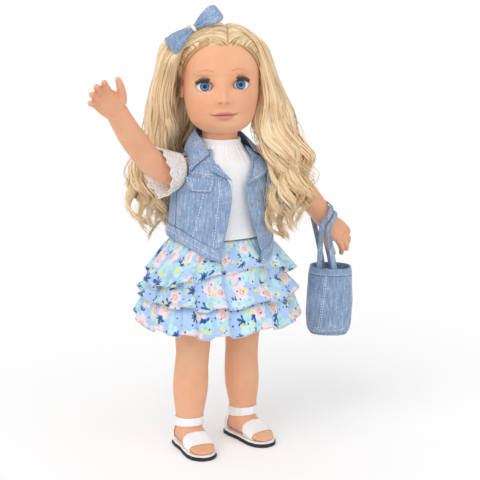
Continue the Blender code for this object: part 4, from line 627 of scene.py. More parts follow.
# face bumps in mm: across, up from the eyes, out, spread across, spread up
BUMPS = (
    (0.0, -14.2, 5.6, 3.0, 3.4),
    (0.0, -7.0, 3.0, 2.9, 6.5),
    (0.0, -16.6, 0.9, 6.6, 2.2),
    (5.9, -15.2, 3.1, 1.9, 2.1),
    (-5.9, -15.2, 3.1, 1.9, 2.1),
    (3.6, -16.6, -1.5, 1.2, 0.9),
    (-3.6, -16.6, -1.5, 1.2, 0.9),
    (10.6, -0.8, -3.4, 2.8, 4.6),
    (-10.6, -0.8, -3.4, 2.8, 4.6),
    (0.0, -24.0, 1.0, 1.6, 2.4),
    (3.6, -26.9, 1.8, 4.6, 1.7),
    (-3.6, -26.9, 1.8, 4.6, 1.7),
    (0.0, -32.8, 2.7, 6.6, 2.3),
    (0.0, -37.6, -0.9, 6.0, 1.7),
    (14.6, -30.0, -0.9, 1.8, 1.8),
    (-14.6, -30.0, -0.9, 1.8, 1.8),
    (0.0, -43.5, 2.4, 8.0, 5.0),
    (19.0, 0.8, -2.1, 9.0, 6.6),
    (-19.0, 0.8, -2.1, 9.0, 6.6),
    (20.0, -22.0, 1.7, 9.5, 9.0),
    (-20.0, -22.0, 1.7, 9.5, 9.0),
    (19.0, 15.5, 1.0, 9.0, 4.0),
    (-19.0, 15.5, 1.0, 9.0, 4.0),
    (19.0, 9.2, -0.7, 9.5, 1.1),
    (-19.0, 9.2, -0.7, 9.5, 1.1),
    (18.5, -7.6, 0.55, 8.0, 1.1),
    (-18.5, -7.6, 0.55, 8.0, 1.1),
)
LIP_LINE = ((0.0, -29.4), (3.0, -29.9), (8.0, -29.9), (14.3, -29.2))


def face_place(points):
    """Across and up from the eyes in mm, in the slightly tilted frame of the face."""
    x = (points[:, 0] - FACE_ORIGIN[0]) / MM
    z = (points[:, 2] - FACE_ORIGIN[1]) / MM
    c, s = math.cos(FACE_TILT), math.sin(FACE_TILT)
    return x * c + z * s, -x * s + z * c


def from_face(across, up):
    """The other way round: x and z in the head frame, in metres."""
    c, s = math.cos(FACE_TILT), math.sin(FACE_TILT)
    return FACE_ORIGIN[0] + (across * c - up * s) * MM, FACE_ORIGIN[1] + (across * s + up * c) * MM


def bell(x, width):
    return np.exp(-0.5 * (x / width) ** 2)


def lip_line(across):
    """Height of the closed mouth's line."""
    xs, zs = zip(*LIP_LINE)
    return np.interp(np.abs(across), xs, zs)


def head_points(unit):
    """Maps the points of a unit ball to the head, points crowding to the face."""
    turn = np.arctan2(unit[:, 1], unit[:, 0])
    front = turn + math.pi / 2.0
    front = (front + math.pi) % math.tau - math.pi
    turn = front - 0.42 * np.sin(front) - math.pi / 2.0
    rise = np.arcsin(np.clip(unit[:, 2], -1.0, 1.0))
    rise = rise - 0.16 * np.sin((rise + 0.30) * 2.0) + 0.16 * math.sin(0.60) * np.cos(rise)
    share = np.sin(np.clip(rise, -math.pi / 2.0, math.pi / 2.0))
    reach = np.where(share > 0.0, UP_REACH, DOWN_REACH)
    power = np.where(share > 0.0, UP_POWER, DOWN_POWER)
    size = np.clip(1.0 - np.abs(share) ** power, 0.0, None) ** (1.0 / power)
    c, s = np.cos(turn), np.sin(turn)
    x = np.sign(c) * np.abs(c) ** (2.0 / LEVEL_POWER) * HALF_WIDE * size
    y = np.sign(s) * np.abs(s) ** (2.0 / LEVEL_POWER) * HALF_DEEP * size
    y = y - 0.10 * HALF_DEEP * np.clip(-share, 0.0, None)
    jaw = np.clip((-share - 0.12) / 0.60, 0.0, 1.0) ** 1.5 * np.clip(0.35 - y / 0.030, 0.0, 1.0)
    x = x * (1.0 + 0.11 * jaw)
    points = np.stack([x, y, HEAD_MIDDLE + share * reach - JAW_DROP * jaw], axis=1)
    across, up = face_place(points)
    push = np.zeros(len(points))
    for at, level, out, wide, tall in BUMPS:
        push += out * bell(across - at, wide) * bell(up - level, tall)
    groove = bell(up - lip_line(across), 0.55) * np.clip(1.25 - np.abs(across) / 13.0, 0.0, 1.0)
    push -= 1.5 * groove
    push *= np.clip(-points[:, 1] / 0.012, 0.0, 1.0)
    points[:, 1] -= push * MM
    return points


def make_head_form():
    deselect()
    bpy.ops.mesh.primitive_uv_sphere_add(segments=300, ring_count=200, radius=1.0)
    obj = bpy.context.object
    obj.name = "head_vinyl"
    move_points(obj, head_points(points_of(obj)))
    return obj


def make_eye_cutter(side):
    """An almond prism through the face and the round pocket that the eyeball turns in."""
    deselect()
    bpy.ops.mesh.primitive_circle_add(vertices=64, radius=1.0, fill_type="NGON")
    obj = bpy.context.object
    ring = points_of(obj)
    c, s = ring[:, 0], ring[:, 1]
    inner = side * c < 0.0
    up = np.where(s > 0.0, 6.1, 5.2) * np.sign(s) * np.abs(s) ** 0.86
    across = np.where(inner, 8.2, 8.5) * c
    up = up + side * c * 0.5
    x, z = from_face(across + side * EYE_APART / MM, up - 0.2)
    move_points(obj, np.stack([x, np.full(len(x), -0.060), z], axis=1))
    pick(obj)
    bpy.ops.object.mode_set(mode="EDIT")
    bpy.ops.mesh.select_all(action="SELECT")
    bpy.ops.mesh.extrude_region_move(TRANSFORM_OT_translate={"value": (0.0, 0.060 + EYE_DEEP, 0.0)})
    bpy.ops.mesh.select_all(action="SELECT")
    bpy.ops.mesh.normals_make_consistent(inside=False)
    bpy.ops.object.mode_set(mode="OBJECT")
    deselect()
    bpy.ops.mesh.primitive_uv_sphere_add(segments=48, ring_count=32, radius=EYE_RADIUS + 0.25 * MM)
    pocket = bpy.context.object
    x, z = from_face(side * EYE_APART / MM, 0.0)
    pocket.data.transform(Matrix.Translation((x, EYE_DEEP, z)))
    applied(obj, "BOOLEAN", operation="UNION", object=pocket, solver="EXACT")
    bpy.data.objects.remove(pocket)
    return obj


head = make_head_form()
for side in (-1, 1):
    cutter = make_eye_cutter(side)
    applied(head, "BOOLEAN", operation="DIFFERENCE", object=cutter, solver="EXACT")
    bpy.data.objects.remove(cutter)
print("head points:", len(head.data.vertices))

# %% Face paint
# lid and the nostril spots of the second mask are painted shade; the others are sprayed paints
PAINTS = ("lips", "lip_dark", "blush", "brow", "lower_lash", "lid")
# outer edges of the lips in mm: across, up from the eyes
UPPER_LIP = ((0.0, -26.6), (1.2, -26.2), (3.2, -25.5), (7.0, -27.4), (10.6, -29.1), (12.6, -29.6))
LOWER_LIP = ((0.0, -35.4), (4.0, -35.0), (7.4, -33.2), (10.0, -31.4), (12.2, -29.9))


def near_path(across, up, path):
    """Distance in mm to a bent line, and how far along it from 0 to 1."""
    best = np.full(len(across), 1e9)
    along = np.zeros(len(across))
    total = sum(math.dist(a, b) for a, b in zip(path, path[1:]))
    gone = 0.0
    for a, b in zip(path, path[1:]):
        length = math.dist(a, b)
        dx, dz = (b[0] - a[0]) / length, (b[1] - a[1]) / length
        t = np.clip((across - a[0]) * dx + (up - a[1]) * dz, 0.0, length)
        apart = np.hypot(across - a[0] - t * dx, up - a[1] - t * dz)
        along = np.where(apart < best, (gone + t) / total, along)
        best = np.minimum(best, apart)
        gone += length
    return best, along


def arch(start, top, end, count=9):
    """A curved line through three points, as short pieces."""
    line = []
    for i in range(count):
        t = i / (count - 1)
        mid = [2.0 * m - 0.5 * (a + b) for a, m, b in zip(start, top, end)]
        line.append(
            tuple(
                (1 - t) ** 2 * a + 2 * t * (1 - t) * m + t * t * b
                for a, m, b in zip(start, mid, end)
            )
        )
    return line


def paint_face(obj):
    """Writes each paint's strength at each point, from the point's place on the face."""
    points = points_of(obj)
    across, up = face_place(points)
    wide = np.abs(across)
    front = ramp(points[:, 1], -0.010, -0.022)
    line = lip_line(across)
    top_edge = np.interp(wide, *zip(*UPPER_LIP))
    low_edge = np.interp(wide, *zip(*LOWER_LIP))
    lips = np.clip((top_edge - up) / 0.7 + 0.5, 0, 1) * np.clip((up - low_edge) / 0.9 + 0.5, 0, 1)
    lips *= np.clip((12.8 - wide) / 1.2, 0, 1)
    dark = bell(up - line, 0.50) * np.clip((14.8 - wide) / 1.5, 0, 1)
    # the dark mouth line is sprayed paint; these spots are painted shade in the nostrils
    dark = np.maximum(dark, 0.75 * bell(wide - 3.7, 1.0) * bell(up + 17.0, 0.6))
    blush = bell(wide - 21.0, 8.0) * bell(up + 21.0, 8.0)
    brow = np.zeros(len(points))
    lash = np.zeros(len(points))
    lid = np.zeros(len(points))
    for side in (-1, 1):
        path = arch((side * 10.0, 14.9), (side * 19.0, 16.0), (side * 29.0, 11.3))
        apart, along = near_path(across, up, path)
        brow = np.maximum(brow, bell(apart, 0.42) * np.clip(1.15 - along, 0.25, 1.0))
        ring_x = (across - side * EYE_APART / MM) / 8.6
        ring_z = up / np.where(up > 0.0, 6.3, 5.6)
        reach = np.hypot(ring_x, ring_z)
        # lid: a band of painted shade round the rim of the eye window, under the lashes
        lid = np.maximum(lid, bell(reach - 1.0, 0.10) * (up > -1.0))
        turn = np.degrees(np.arctan2(ring_z, ring_x * side))
        ticks = np.abs(((turn + 96.0) / 13.0) % 1.0 - 0.5) < 0.16
        outer = (reach > 1.06) & (reach < 1.27) & (turn > -80.0) & (turn < -4.0)
        lash = np.maximum(lash, np.where(ticks & outer, 0.75, 0.0))
    values = (lips, dark, blush, brow, lash, lid)
    give_values(obj.data, {name: value * front for name, value in zip(PAINTS, values)})


def make_face_finish():
    """Skin vinyl with the sprayed paints laid over it, and painted shade in the nostrils and round
    the eye windows.
    """
    mat, w, shader = finish_of(
        "face_vinyl", 0.50, Specular_IOR_Level=0.30, Subsurface_Weight=0.10, Subsurface_Scale=0.003
    )
    tone = w.smooth(w.noise(w.place(), 30.0, 3.0, 0.6), 0.3, 0.7)
    colour = w.mix(tone, linear("#F0B08A"), linear("#F5BC98"))
    colour = w.mix(w.math("MULTIPLY", w.own("blush"), 0.20), colour, linear("#F09A7E"))
    # painted shade round the rims of the eye windows
    colour = w.mix(w.math("MULTIPLY", w.own("lid"), 0.55), colour, linear("#A9714E"))
    colour = w.mix(w.math("MULTIPLY", w.own("lips"), 0.95), colour, linear("#DF8E84"))
    # sprayed mouth line, and painted shade in the nostrils
    colour = w.mix(w.math("MULTIPLY", w.own("lip_dark"), 0.78), colour, linear("#8E4A40"))
    colour = w.mix(w.math("MULTIPLY", w.own("brow"), 0.62), colour, linear("#BD7E54"))
    colour = w.mix(w.math("MULTIPLY", w.own("lower_lash"), 0.55), colour, linear("#A46E50"))
    w.put(shader.inputs["Base Color"], colour)
    w.put(shader.inputs["Roughness"], w.math("MULTIPLY_ADD", w.own("lips"), -0.14, 0.50))
    grain = w.noise(w.place(), 2400.0, 2.0, 0.6)
    w.put(shader.inputs["Normal"], w.bump(grain, 0.10, 0.1 * MM))
    return mat


def make_ear(side):
    """A curled ear: a rim round a hollow, pressed flat against the head."""
    deselect()
    bpy.ops.mesh.primitive_uv_sphere_add(segments=64, ring_count=48, radius=1.0)
    obj = bpy.context.object
    obj.name = ("right", "left")[side > 0] + "_ear_vinyl"
    unit = points_of(obj)
    y = unit[:, 1] * 5.9 * (1.0 + 0.16 * unit[:, 2])
    z = unit[:, 2] * 9.6
    reach = np.hypot(unit[:, 1], unit[:, 2])
    outside = np.clip(unit[:, 0] * side * 3.0, 0.0, 1.0)
    rim = bell(reach - 0.80, 0.13) * np.where(unit[:, 1] > -0.55, 1.0, 0.45)
    hollow = bell(unit[:, 1] + 0.12, 0.34) * bell(unit[:, 2] - 0.12, 0.46)
    inner = bell(np.hypot(unit[:, 1] + 0.1, unit[:, 2] - 0.15) - 0.48, 0.09) * (unit[:, 1] > -0.3)
    x = side * np.abs(unit[:, 0]) * 2.9 * np.sign(unit[:, 0] * side)
    x = x + side * outside * (rim * 1.5 - hollow * 2.1 + inner * 0.7)
    x = x + side * (y * 0.10)
    points = np.stack([x * MM, y * MM, z * MM], axis=1)
    points += np.array([side * HALF_WIDE * 0.992, 0.0024, EYE_LEVEL - 0.0098])
    move_points(obj, points)
    obj.data.transform(HEAD_TURN)
    return obj


paint_face(head)
head.data.transform(HEAD_TURN)
FACE = make_face_finish()
dressed(head, FACE, "head", "skin_vinyl", "head_shell")
pick(head)
bpy.ops.object.shade_smooth_by_angle(angle=math.radians(50.0))
for side in (-1, 1):
    dressed(make_ear(side), SKIN, "head", "skin_vinyl")

# %% [markdown]
# ## Sleep eyes
#
# Real sleep eyes are glossy plastic balls on a steel axle, with a lead weight behind, an iris
# printed under clear plastic and a strip of bristles for lashes. The ball is a fine sphere, and
# its iris is drawn by the distance from the look direction. The lashes are modelled one by one,
# because a solid strip would look like a lid.

# %% Sleep eyes
LASHES_PER_EYE = 104


def make_iris_finish():
    """White plastic with a printed iris: dark rim, light rays, black pupil and a wet coat. The
    lower iris gets painted light, and the white greys with painted shade towards the window's rim.
    """
    mat, w, shader = finish_of(
        "eye_plastic", 0.15, Specular_IOR_Level=0.35, Coat_Weight=0.25, Coat_Roughness=0.03
    )
    spot = w.own("iris_across"), w.own("iris_up")
    squares = [w.math("MULTIPLY", value, value) for value in spot]
    reach = w.math("SQRT", w.math("ADD", *squares))
    turn = w.math("ARCTAN2", spot[1], spot[0])
    flat = w.node("ShaderNodeCombineXYZ", {0: turn, 1: w.math("MULTIPLY", reach, 0.25)})
    rays = w.noise(flat.outputs[0], 9.0, 3.0, 0.7)
    blue = w.mix(w.smooth(rays, 0.35, 0.65), linear("#115F92"), linear("#3C93C4"))
    # painted light: the iris is made paler towards its bottom, where light through the clear dome
    # falls on it
    lower = w.smooth(spot[1], 1.5, -3.2)
    blue = w.mix(w.math("MULTIPLY", lower, 0.30), blue, linear("#A5DDF2"))
    blue = w.mix(w.smooth(reach, 3.4, 4.6), blue, linear("#1D4668"))
    blue = w.mix(w.smooth(reach, 2.5, 2.0), blue, linear("#07090C"))
    # painted shade: the white greys towards the rim of the eye window
    white = w.mix(w.smooth(reach, 5.4, 8.8), linear("#F1F3F6"), linear("#DDD6D6"))
    eye = w.mix(w.smooth(reach, 4.7, 5.2), blue, white)
    width = w.math("POWER", w.math("DIVIDE", w.math("ABSOLUTE", spot[0]), 8.5), 2.2)
    lid_line = w.math("MULTIPLY_ADD", w.math("SUBTRACT", 1.0, width), 3.4, 1.7)
    lid = w.smooth(w.math("SUBTRACT", spot[1], lid_line), 0.0, 0.4)
    w.put(shader.inputs["Base Color"], w.mix(lid, eye, linear("#EBAF8A")))
    return mat


def make_eye(side):
    deselect()
    bpy.ops.mesh.primitive_uv_sphere_add(segments=96, ring_count=64, radius=1.0)
    obj = bpy.context.object
    obj.name = ("right", "left")[side > 0] + "_eye_plastic"
    unit = points_of(obj)
    look = np.array([side * -0.015, -1.0, -0.010])
    look /= np.linalg.norm(look)
    spot_x = (unit[:, 0] - look[0]) * EYE_RADIUS / MM
    spot_z = (unit[:, 2] - look[2]) * EYE_RADIUS / MM
    ahead = unit @ look
    dome = np.clip((ahead - 0.85) / 0.15, 0.0, 1.0) ** 2 * 0.0006
    behind = np.where(ahead < 0.0, 20.0, 0.0)
    x, z = from_face(side * EYE_APART / MM, 0.0)
    points = unit * (EYE_RADIUS - 0.0001 + dome)[:, None] + np.array([x, EYE_DEEP, z])
    give_values(obj.data, {"iris_across": spot_x + behind, "iris_up": spot_z})
    move_points(obj, points)
    obj.data.transform(HEAD_TURN)
    return obj


def make_lashes(side):
    """Bristles along the upper lid, each a thin bent blade of four sides."""
    rng = random.Random(41 + side)
    verts, faces = [], []
    for i in range(LASHES_PER_EYE):
        t = (i + rng.uniform(-0.3, 0.3)) / (LASHES_PER_EYE - 1) * 2.0 - 1.0
        across = t * 8.0
        up = 3.4 * (1.0 - abs(t) ** 2.2) + 1.0
        base_y = -math.sqrt(max(EYE_RADIUS**2 - (across * MM) ** 2 - (up * MM) ** 2, 1e-9)) - 0.0001
        length = (4.9 + rng.uniform(-0.5, 0.5)) * (1.0 - 0.26 * t * t)
        swing = t * 1.8 + rng.uniform(-0.25, 0.25)
        rows = []
        for k in range(6):
            s = k / 5.0
            lift = length * s**1.35
            out = 3.9 * (1.0 - (1.0 - s) ** 2)
            x, z = from_face(side * EYE_APART / MM + across + swing * s * s, up + lift)
            y = EYE_DEEP + base_y - out * MM
            radius = 0.20 * MM * (1.0 - 0.70 * s)
            rows.append((x, y, z, radius))
        start = len(verts)
        for x, y, z, radius in rows:
            verts += [
                (x - radius, y, z - radius),
                (x + radius, y, z - radius),
                (x + radius, y, z + radius),
                (x - radius, y, z + radius),
            ]
        for k in range(5):
            for j in range(4):
                a, b = start + k * 4 + j, start + k * 4 + (j + 1) % 4
                faces.append((a, b, b + 4, a + 4))
        faces.append((start + 3, start + 2, start + 1, start))
        end = start + 20
        faces.append((end, end + 1, end + 2, end + 3))
    mesh = bpy.data.meshes.new(("right", "left")[side > 0] + "_lashes")
    mesh.from_pydata(verts, [], faces)
    obj = closed_piece(mesh.name, mesh)
    mesh.transform(HEAD_TURN)
    return obj


def make_metal(name, low, high, roughness, scale):
    mat, w, shader = finish_of(name, roughness, Metallic=1.0)
    tone = w.noise(w.place(), scale, 3.0, 0.6)
    w.put(shader.inputs["Base Color"], w.mix(tone, linear(low), linear(high)))
    w.put(shader.inputs["Normal"], w.bump(tone, 0.15, 0.1 * MM))
    return mat


IRIS = make_iris_finish()
LASH, lash_wires, lash_shader = finish_of("lash_bristle", 0.62)
lash_tone = lash_wires.noise(lash_wires.place(), 900.0)
lash_wires.put(
    lash_shader.inputs["Base Color"],
    lash_wires.mix(lash_tone, linear("#3A2418"), linear("#6E4A32")),
)
for side, word in ((-1, "right"), (1, "left")):
    dressed(make_eye(side), IRIS, "eyes", "eye_plastic", word + "_eyeball")
    dressed(make_lashes(side), LASH, "eyes", "lash_bristle", word + "_lash")
for node, finish in (
    ("eye_axle", make_metal("axle_steel", "#A8ABB0", "#C4C7CC", 0.3, 800.0)),
    ("eye_weight", make_metal("eye_weight_iron", "#55585C", "#74777C", 0.6, 260.0)),
):
    NODES[node].data.materials.clear()
    NODES[node].data.materials.append(finish)

# %% [markdown]
# ## Hair
#
# A play doll's hair is nylon fibre rooted in rows through the scalp, parted, swept back and set
# in loose waves. Particle hair would not export, so the hair is made of locks: closed ribbons
# that start at the hairline or the parting, cross the scalp and hang in one of three falls. Each
# fall is a table of its place and size at each height, read from the photo. Locks keep together
# in clumps that wind more and more towards the tips, and fine strands stray between them.

# %% Hair routes
AWAY = Vector((-VIEW_BACK.x, -VIEW_BACK.y, 0.0)).normalized()
# height, inner and outer edge along the view's width, middle and half of the depth, in mm
RIGHT_ROUTE = (
    (441, -36, -62, -3, 20),
    (427, -38, -66, -3, 25),
    (403, -48, -69, -2, 23),
    (381, -50, -76, -1, 22),
    (358, -48, -80, 2, 19),
    (344, -45, -80, 6, 18),
    (326, -50, -86, 10, 16),
    (308, -51, -94, 11, 16),
    (294, -52, -103, 10, 16),
    (282, -52, -105, 8, 16),
    (271, -52, -103, 6, 15),
    (259, -53, -99, 5, 14),
    (247, -54, -94, 4, 13),
    (235, -58, -87, 4, 10),
    (223, -64, -77, 4, 6),
)
LEFT_ROUTE = (
    (441, 20, 37, 13, 18),
    (432, 27, 44, 14, 22),
    (417, 34, 50, 15, 24),
    (397, 40, 57, 14, 24),
    (373, 39, 69, 12, 23),
    (357, 34, 75, 9, 22),
    (345, 31, 81, 6, 20),
    (335, 35, 87, 1, 16),
    (322, 43, 97, -8, 12),
    (307, 54, 99, -12, 12),
    (293, 53, 100, -16, 11),
    (280, 50, 100, -18, 10),
    (264, 48, 99, -19, 10),
    (249, 48, 97, -20, 9),
    (236, 50, 88, -21, 8),
    (226, 55, 79, -21, 5),
)
# the same for the back, along the doll's own width
BACK_ROUTE = (
    (430, -30, 36, 34, 14),
    (416, -34, 43, 38, 15),
    (387, -42, 51, 43, 17),
    (354, -47, 56, 50, 16),
    (321, -50, 56, 58, 13),
    (289, -52, 53, 64, 10),
    (256, -48, 49, 66, 10),
    (232, -42, 42, 66, 8),
    (214, -26, 24, 66, 5),
)
# %% [markdown]
# The real hair is sewn into the head along the hairline and the parting, so the locks' roots lie on
# these two paths. The bow is sewn on top and presses the locks under it flat.

# %% Hairline, parting and bow
HAIRLINE = (
    # in the head frame, mm: across, back, up from the eyes, for one side from the top to the ear
    (0.0, -37.0, 41.3),
    (14.0, -33.6, 39.2),
    (25.0, -26.6, 33.2),
    (33.0, -19.6, 24.6),
    (37.0, -13.6, 13.8),
    (38.6, -9.0, 2.0),
    (39.0, -2.0, -1.0),
    (38.8, 6.0, -2.0),
    (37.5, 11.0, -12.0),
    (33.0, 17.0, -24.0),
)
PARTING = (
    (4.5, -36.6, 41.2),
    (5.0, -20.0, 49.0),
    (4.0, 0.0, 53.0),
    (2.0, 20.0, 48.0),
    (0.0, 36.0, 34.0),
)
PARTING_OVERLAP = 2.5
HEAD_CENTRE = np.array([0.0, 0.0, HEAD_MIDDLE])

BOW_AT = HEAD_TURN @ Vector((-0.757 * 0.0395, -0.455 * 0.044, 0.4015 - 0.3565 + 0.047))
BOW_ALONG = (HEAD_TURN.to_3x3() @ Vector((0.80, 0.02, 0.60))).normalized()
bow_outward = HEAD_TURN.to_3x3() @ Vector((-0.35, -0.78, 0.52))
BOW_OUTWARD = (bow_outward - BOW_ALONG * bow_outward.dot(BOW_ALONG)).normalized()
BOW_ACROSS = BOW_ALONG.cross(BOW_OUTWARD)
BOW_ROOM = (0.034, 0.0165, 0.0060)


def under_bow(paths):
    """Presses the locks flat where the bow lies on them."""
    offset = paths - np.array(BOW_AT)
    along = offset @ np.array(BOW_ALONG)
    across = offset @ np.array(BOW_ACROSS)
    outward = offset @ np.array(BOW_OUTWARD)
    inside = np.clip(1.6 - np.abs(along) / BOW_ROOM[0], 0.0, 0.6) / 0.6
    inside *= np.clip(1.6 - np.abs(across) / BOW_ROOM[1], 0.0, 0.6) / 0.6
    press = np.clip(outward + BOW_ROOM[2], 0.0, 0.03) * np.where(outward < 0.035, 1.0, 0.0)
    return paths - (inside * press)[..., None] * np.array(BOW_OUTWARD)


# %% [markdown]
# A lock is placed by three kinds of point: its root, its way over the scalp and its place inside a
# fall. The scalp is the same rounded form as the head, so the locks lie on it with a small lift.

# %% Places on the scalp and in a fall
def along_rows(rows, at):
    """Columns of a table at many places between its rows, straight between them."""
    rows = sorted(rows)
    xs = [row[0] for row in rows]
    return [np.interp(at, xs, [row[k] for row in rows]) for k in range(1, len(rows[0]))]


def along_path(path, share):
    """Points at shares of a short path's length."""
    path = np.array(path)
    steps = np.linalg.norm(np.diff(path, axis=0), axis=1)
    gone = np.concatenate([[0.0], np.cumsum(steps)]) / steps.sum()
    return np.stack([np.interp(share, gone, path[:, k]) for k in range(3)], axis=-1)


def on_scalp(toward, lift):
    """Point over the scalp in a direction from the middle of the head, in the head frame."""
    toward = toward / np.linalg.norm(toward, axis=-1, keepdims=True)
    low = toward[..., 2] < 0.0
    power = np.where(low, DOWN_POWER, UP_POWER)
    level = (np.abs(toward[..., 0]) / HALF_WIDE) ** LEVEL_POWER
    level = level + (np.abs(toward[..., 1]) / HALF_DEEP) ** LEVEL_POWER
    upright = (np.abs(toward[..., 2]) / np.where(low, DOWN_REACH, UP_REACH)) ** power
    reach = (level ** (power / LEVEL_POWER) + upright) ** (-1.0 / power) + lift
    return toward * reach[..., None] + HEAD_CENTRE


def to_doll(points):
    matrix = np.array(HEAD_TURN)
    return points @ matrix[:3, :3].T + matrix[:3, 3]


def to_head(points):
    matrix = np.array(HEAD_TURN.inverted())
    return points @ matrix[:3, :3].T + matrix[:3, 3]


def root_of(side, share):
    """Root on the hairline (share under 0.5) or along the parting, as a direction."""
    line = [(side * x, y, z) for x, y, z in HAIRLINE]
    line[0] = PARTING[0]
    hairline = along_path(line[::-1], share * 2.0)
    parting = along_path(PARTING, share * 2.0 - 1.0) - np.array([side * PARTING_OVERLAP, 0.0, 0.0])
    place = np.where((share < 0.5)[:, None], hairline, parting) * MM
    place[:, 2] += EYE_LEVEL - HEAD_MIDDLE
    return place


def fall_point(route, axes, height, turn, reach):
    """Point in a fall at heights, for an angle and a reach inside its section."""
    inner, outer, deep, half_deep = along_rows(route, height / MM)
    wide = (inner + outer) / 2.0 + (outer - inner) / 2.0 * reach * np.cos(turn)
    back = deep + half_deep * reach * np.sin(turn)
    flat = np.outer(wide.ravel(), axes[0]) + np.outer(back.ravel(), axes[1])
    points = flat.reshape(wide.shape + (3,)) * MM
    points[..., 2] = height
    return points


# %% [markdown]
# Each lock follows its own route and is drawn towards the middle of its clump as it falls. The
# waves grow from the ears down. The draws come from one seeded generator for each set of locks.

# %% Paths of the locks
LOCK_POINTS = 50
SCALP_SHARE = 0.26
WAVE_LENGTH = 0.046
WAVE_DEPTH = 0.0080
CLUMP_PULL = 0.80
CLUMP_REACH = 0.78


def hair_paths(seed, side, route, axes, count, clumps, stray=0.0, ends=0.232):
    """Routes of many locks from their roots over the scalp and down one fall."""
    rng = np.random.default_rng(seed)
    share = (np.arange(count) + rng.uniform(0.1, 0.9, count)) / count
    if side == 0:
        turn = rng.uniform(0.0, math.tau, count)
        reach = np.sqrt(rng.uniform(0.25, 1.0, count))
        spread = np.cos(turn) * reach
        x = spread * 44.0 + 3.0
        y = 30.0 - np.abs(spread) * 6.0
        toward = np.stack([x, y, 14.0 + rng.uniform(0.0, 36.0, count)], axis=1)
        toward[:, 2] -= 8.0
    else:
        turn = math.pi + np.radians(-130.0 + 290.0 * share)
        turn = turn + rng.normal(0.0, 0.22 + stray, count)
        reach = np.clip(rng.normal(0.90, 0.10 + stray * 0.4, count), 0.25, 1.06)
        toward = root_of(side, np.clip(share + rng.normal(0.0, 0.012, count), 0.0, 1.0))
    group = (np.floor(share * clumps) if side else rng.integers(0, clumps, count)).astype(int)
    if side == 0:
        group = np.clip(((np.cos(turn) * reach + 1.0) / 2.0 * clumps).astype(int), 0, clumps - 1)
    members = [group == g for g in range(clumps)]
    clump_turn = np.array([np.mean(turn[own]) if own.any() else 0.0 for own in members])
    clump_reach = np.array([np.mean(reach[own]) if own.any() else 0.5 for own in members])
    phase = rng.uniform(0.0, math.tau, clumps)[group] + rng.normal(0.0, 0.25 + stray * 1.2, count)
    length = rng.uniform(0.88, 1.12, clumps)[group] * WAVE_LENGTH
    size = rng.uniform(0.75, 1.25, clumps)[group] * (1.0 + stray * rng.uniform(0.0, 1.2, count))
    last = ends + rng.uniform(-0.010, 0.016, clumps)[group] + rng.uniform(-0.006, 0.010, count)
    enter = 0.418 + 0.012 * np.clip(share * 2.0, 0.0, 1.0) if side else np.full(count, 0.402)
    s = np.linspace(0.0, 1.0, LOCK_POINTS)[None, :]
    t = np.clip(s / SCALP_SHARE, 0.0, 1.0)
    first = fall_point(route, axes, enter[:, None], turn[:, None], reach[:, None])
    entry = to_head(first[:, 0]) - HEAD_CENTRE
    unit_a = toward / np.linalg.norm(toward, axis=1, keepdims=True)
    unit_b = entry / np.linalg.norm(entry, axis=1, keepdims=True)
    blend = unit_a[:, None] * (1.0 - t)[..., None] + unit_b[:, None] * t[..., None]
    blend[..., 2] += 0.10 * np.sin(math.pi * t)
    plain = on_scalp(blend, np.zeros(blend.shape[:2]))
    entry_lift = np.linalg.norm(entry, axis=1)
    entry_lift = entry_lift - np.linalg.norm(plain[:, -1] - HEAD_CENTRE, axis=1)
    layer = rng.uniform(0.0, 1.0, count)[:, None]
    lift = -0.0010 + (0.0044 + 0.0020 * layer) * np.sin(math.pi * 0.5 * np.clip(t * 8.0, 0.0, 1.0))
    lift = lift + (entry_lift[:, None] - 0.0044) * t**2.2
    scalp = to_doll(on_scalp(blend, lift))
    down = np.clip((s - SCALP_SHARE) / (1.0 - SCALP_SHARE), 0.0, 1.0)
    height = enter[:, None] + (last - enter)[:, None] * down
    pull = CLUMP_PULL * np.clip((0.36 - height) / 0.11, 0.0, 1.0) * (1.0 - stray * 0.5)
    ones = np.ones_like(height)
    own = fall_point(route, axes, height, turn[:, None] * ones, reach[:, None] * ones)
    shared_turn = clump_turn[group][:, None] * ones
    shared_reach = clump_reach[group][:, None] * CLUMP_REACH * ones
    shared = fall_point(route, axes, height, shared_turn, shared_reach)
    hung = own * (1.0 - pull[..., None]) + shared * pull[..., None]
    amount = WAVE_DEPTH * np.clip((0.390 - height) / 0.10, 0.0, 1.0) ** 1.3 * size[:, None]
    amount *= 1.0 + 0.25 * np.clip((0.26 - height) / 0.03, 0.0, 1.0)
    wave = phase[:, None] + math.tau * (0.40 - height) / length[:, None]
    hung = hung + (amount * np.cos(wave))[..., None] * np.array(axes[0])
    hung = hung + (amount * 0.7 * np.sin(wave))[..., None] * np.array(axes[1])
    hung[..., 2] += 0.35 * amount * np.sin(wave + 0.8)
    mix = np.clip((s - SCALP_SHARE + 0.05) / 0.10, 0.0, 1.0)
    mix = (mix * mix * (3.0 - 2.0 * mix))[..., None]
    paths = scalp * (1.0 - mix) + hung * mix
    for _ in range(3):
        paths[:, 1:-1] = paths[:, :-2] * 0.25 + paths[:, 1:-1] * 0.5 + paths[:, 2:] * 0.25
    return under_bow(paths), rng


# %% [markdown]
# A lock is one closed ribbon that lies flat on the hair under it and tapers to its tip. A few sides
# are enough, since there are hundreds of them.

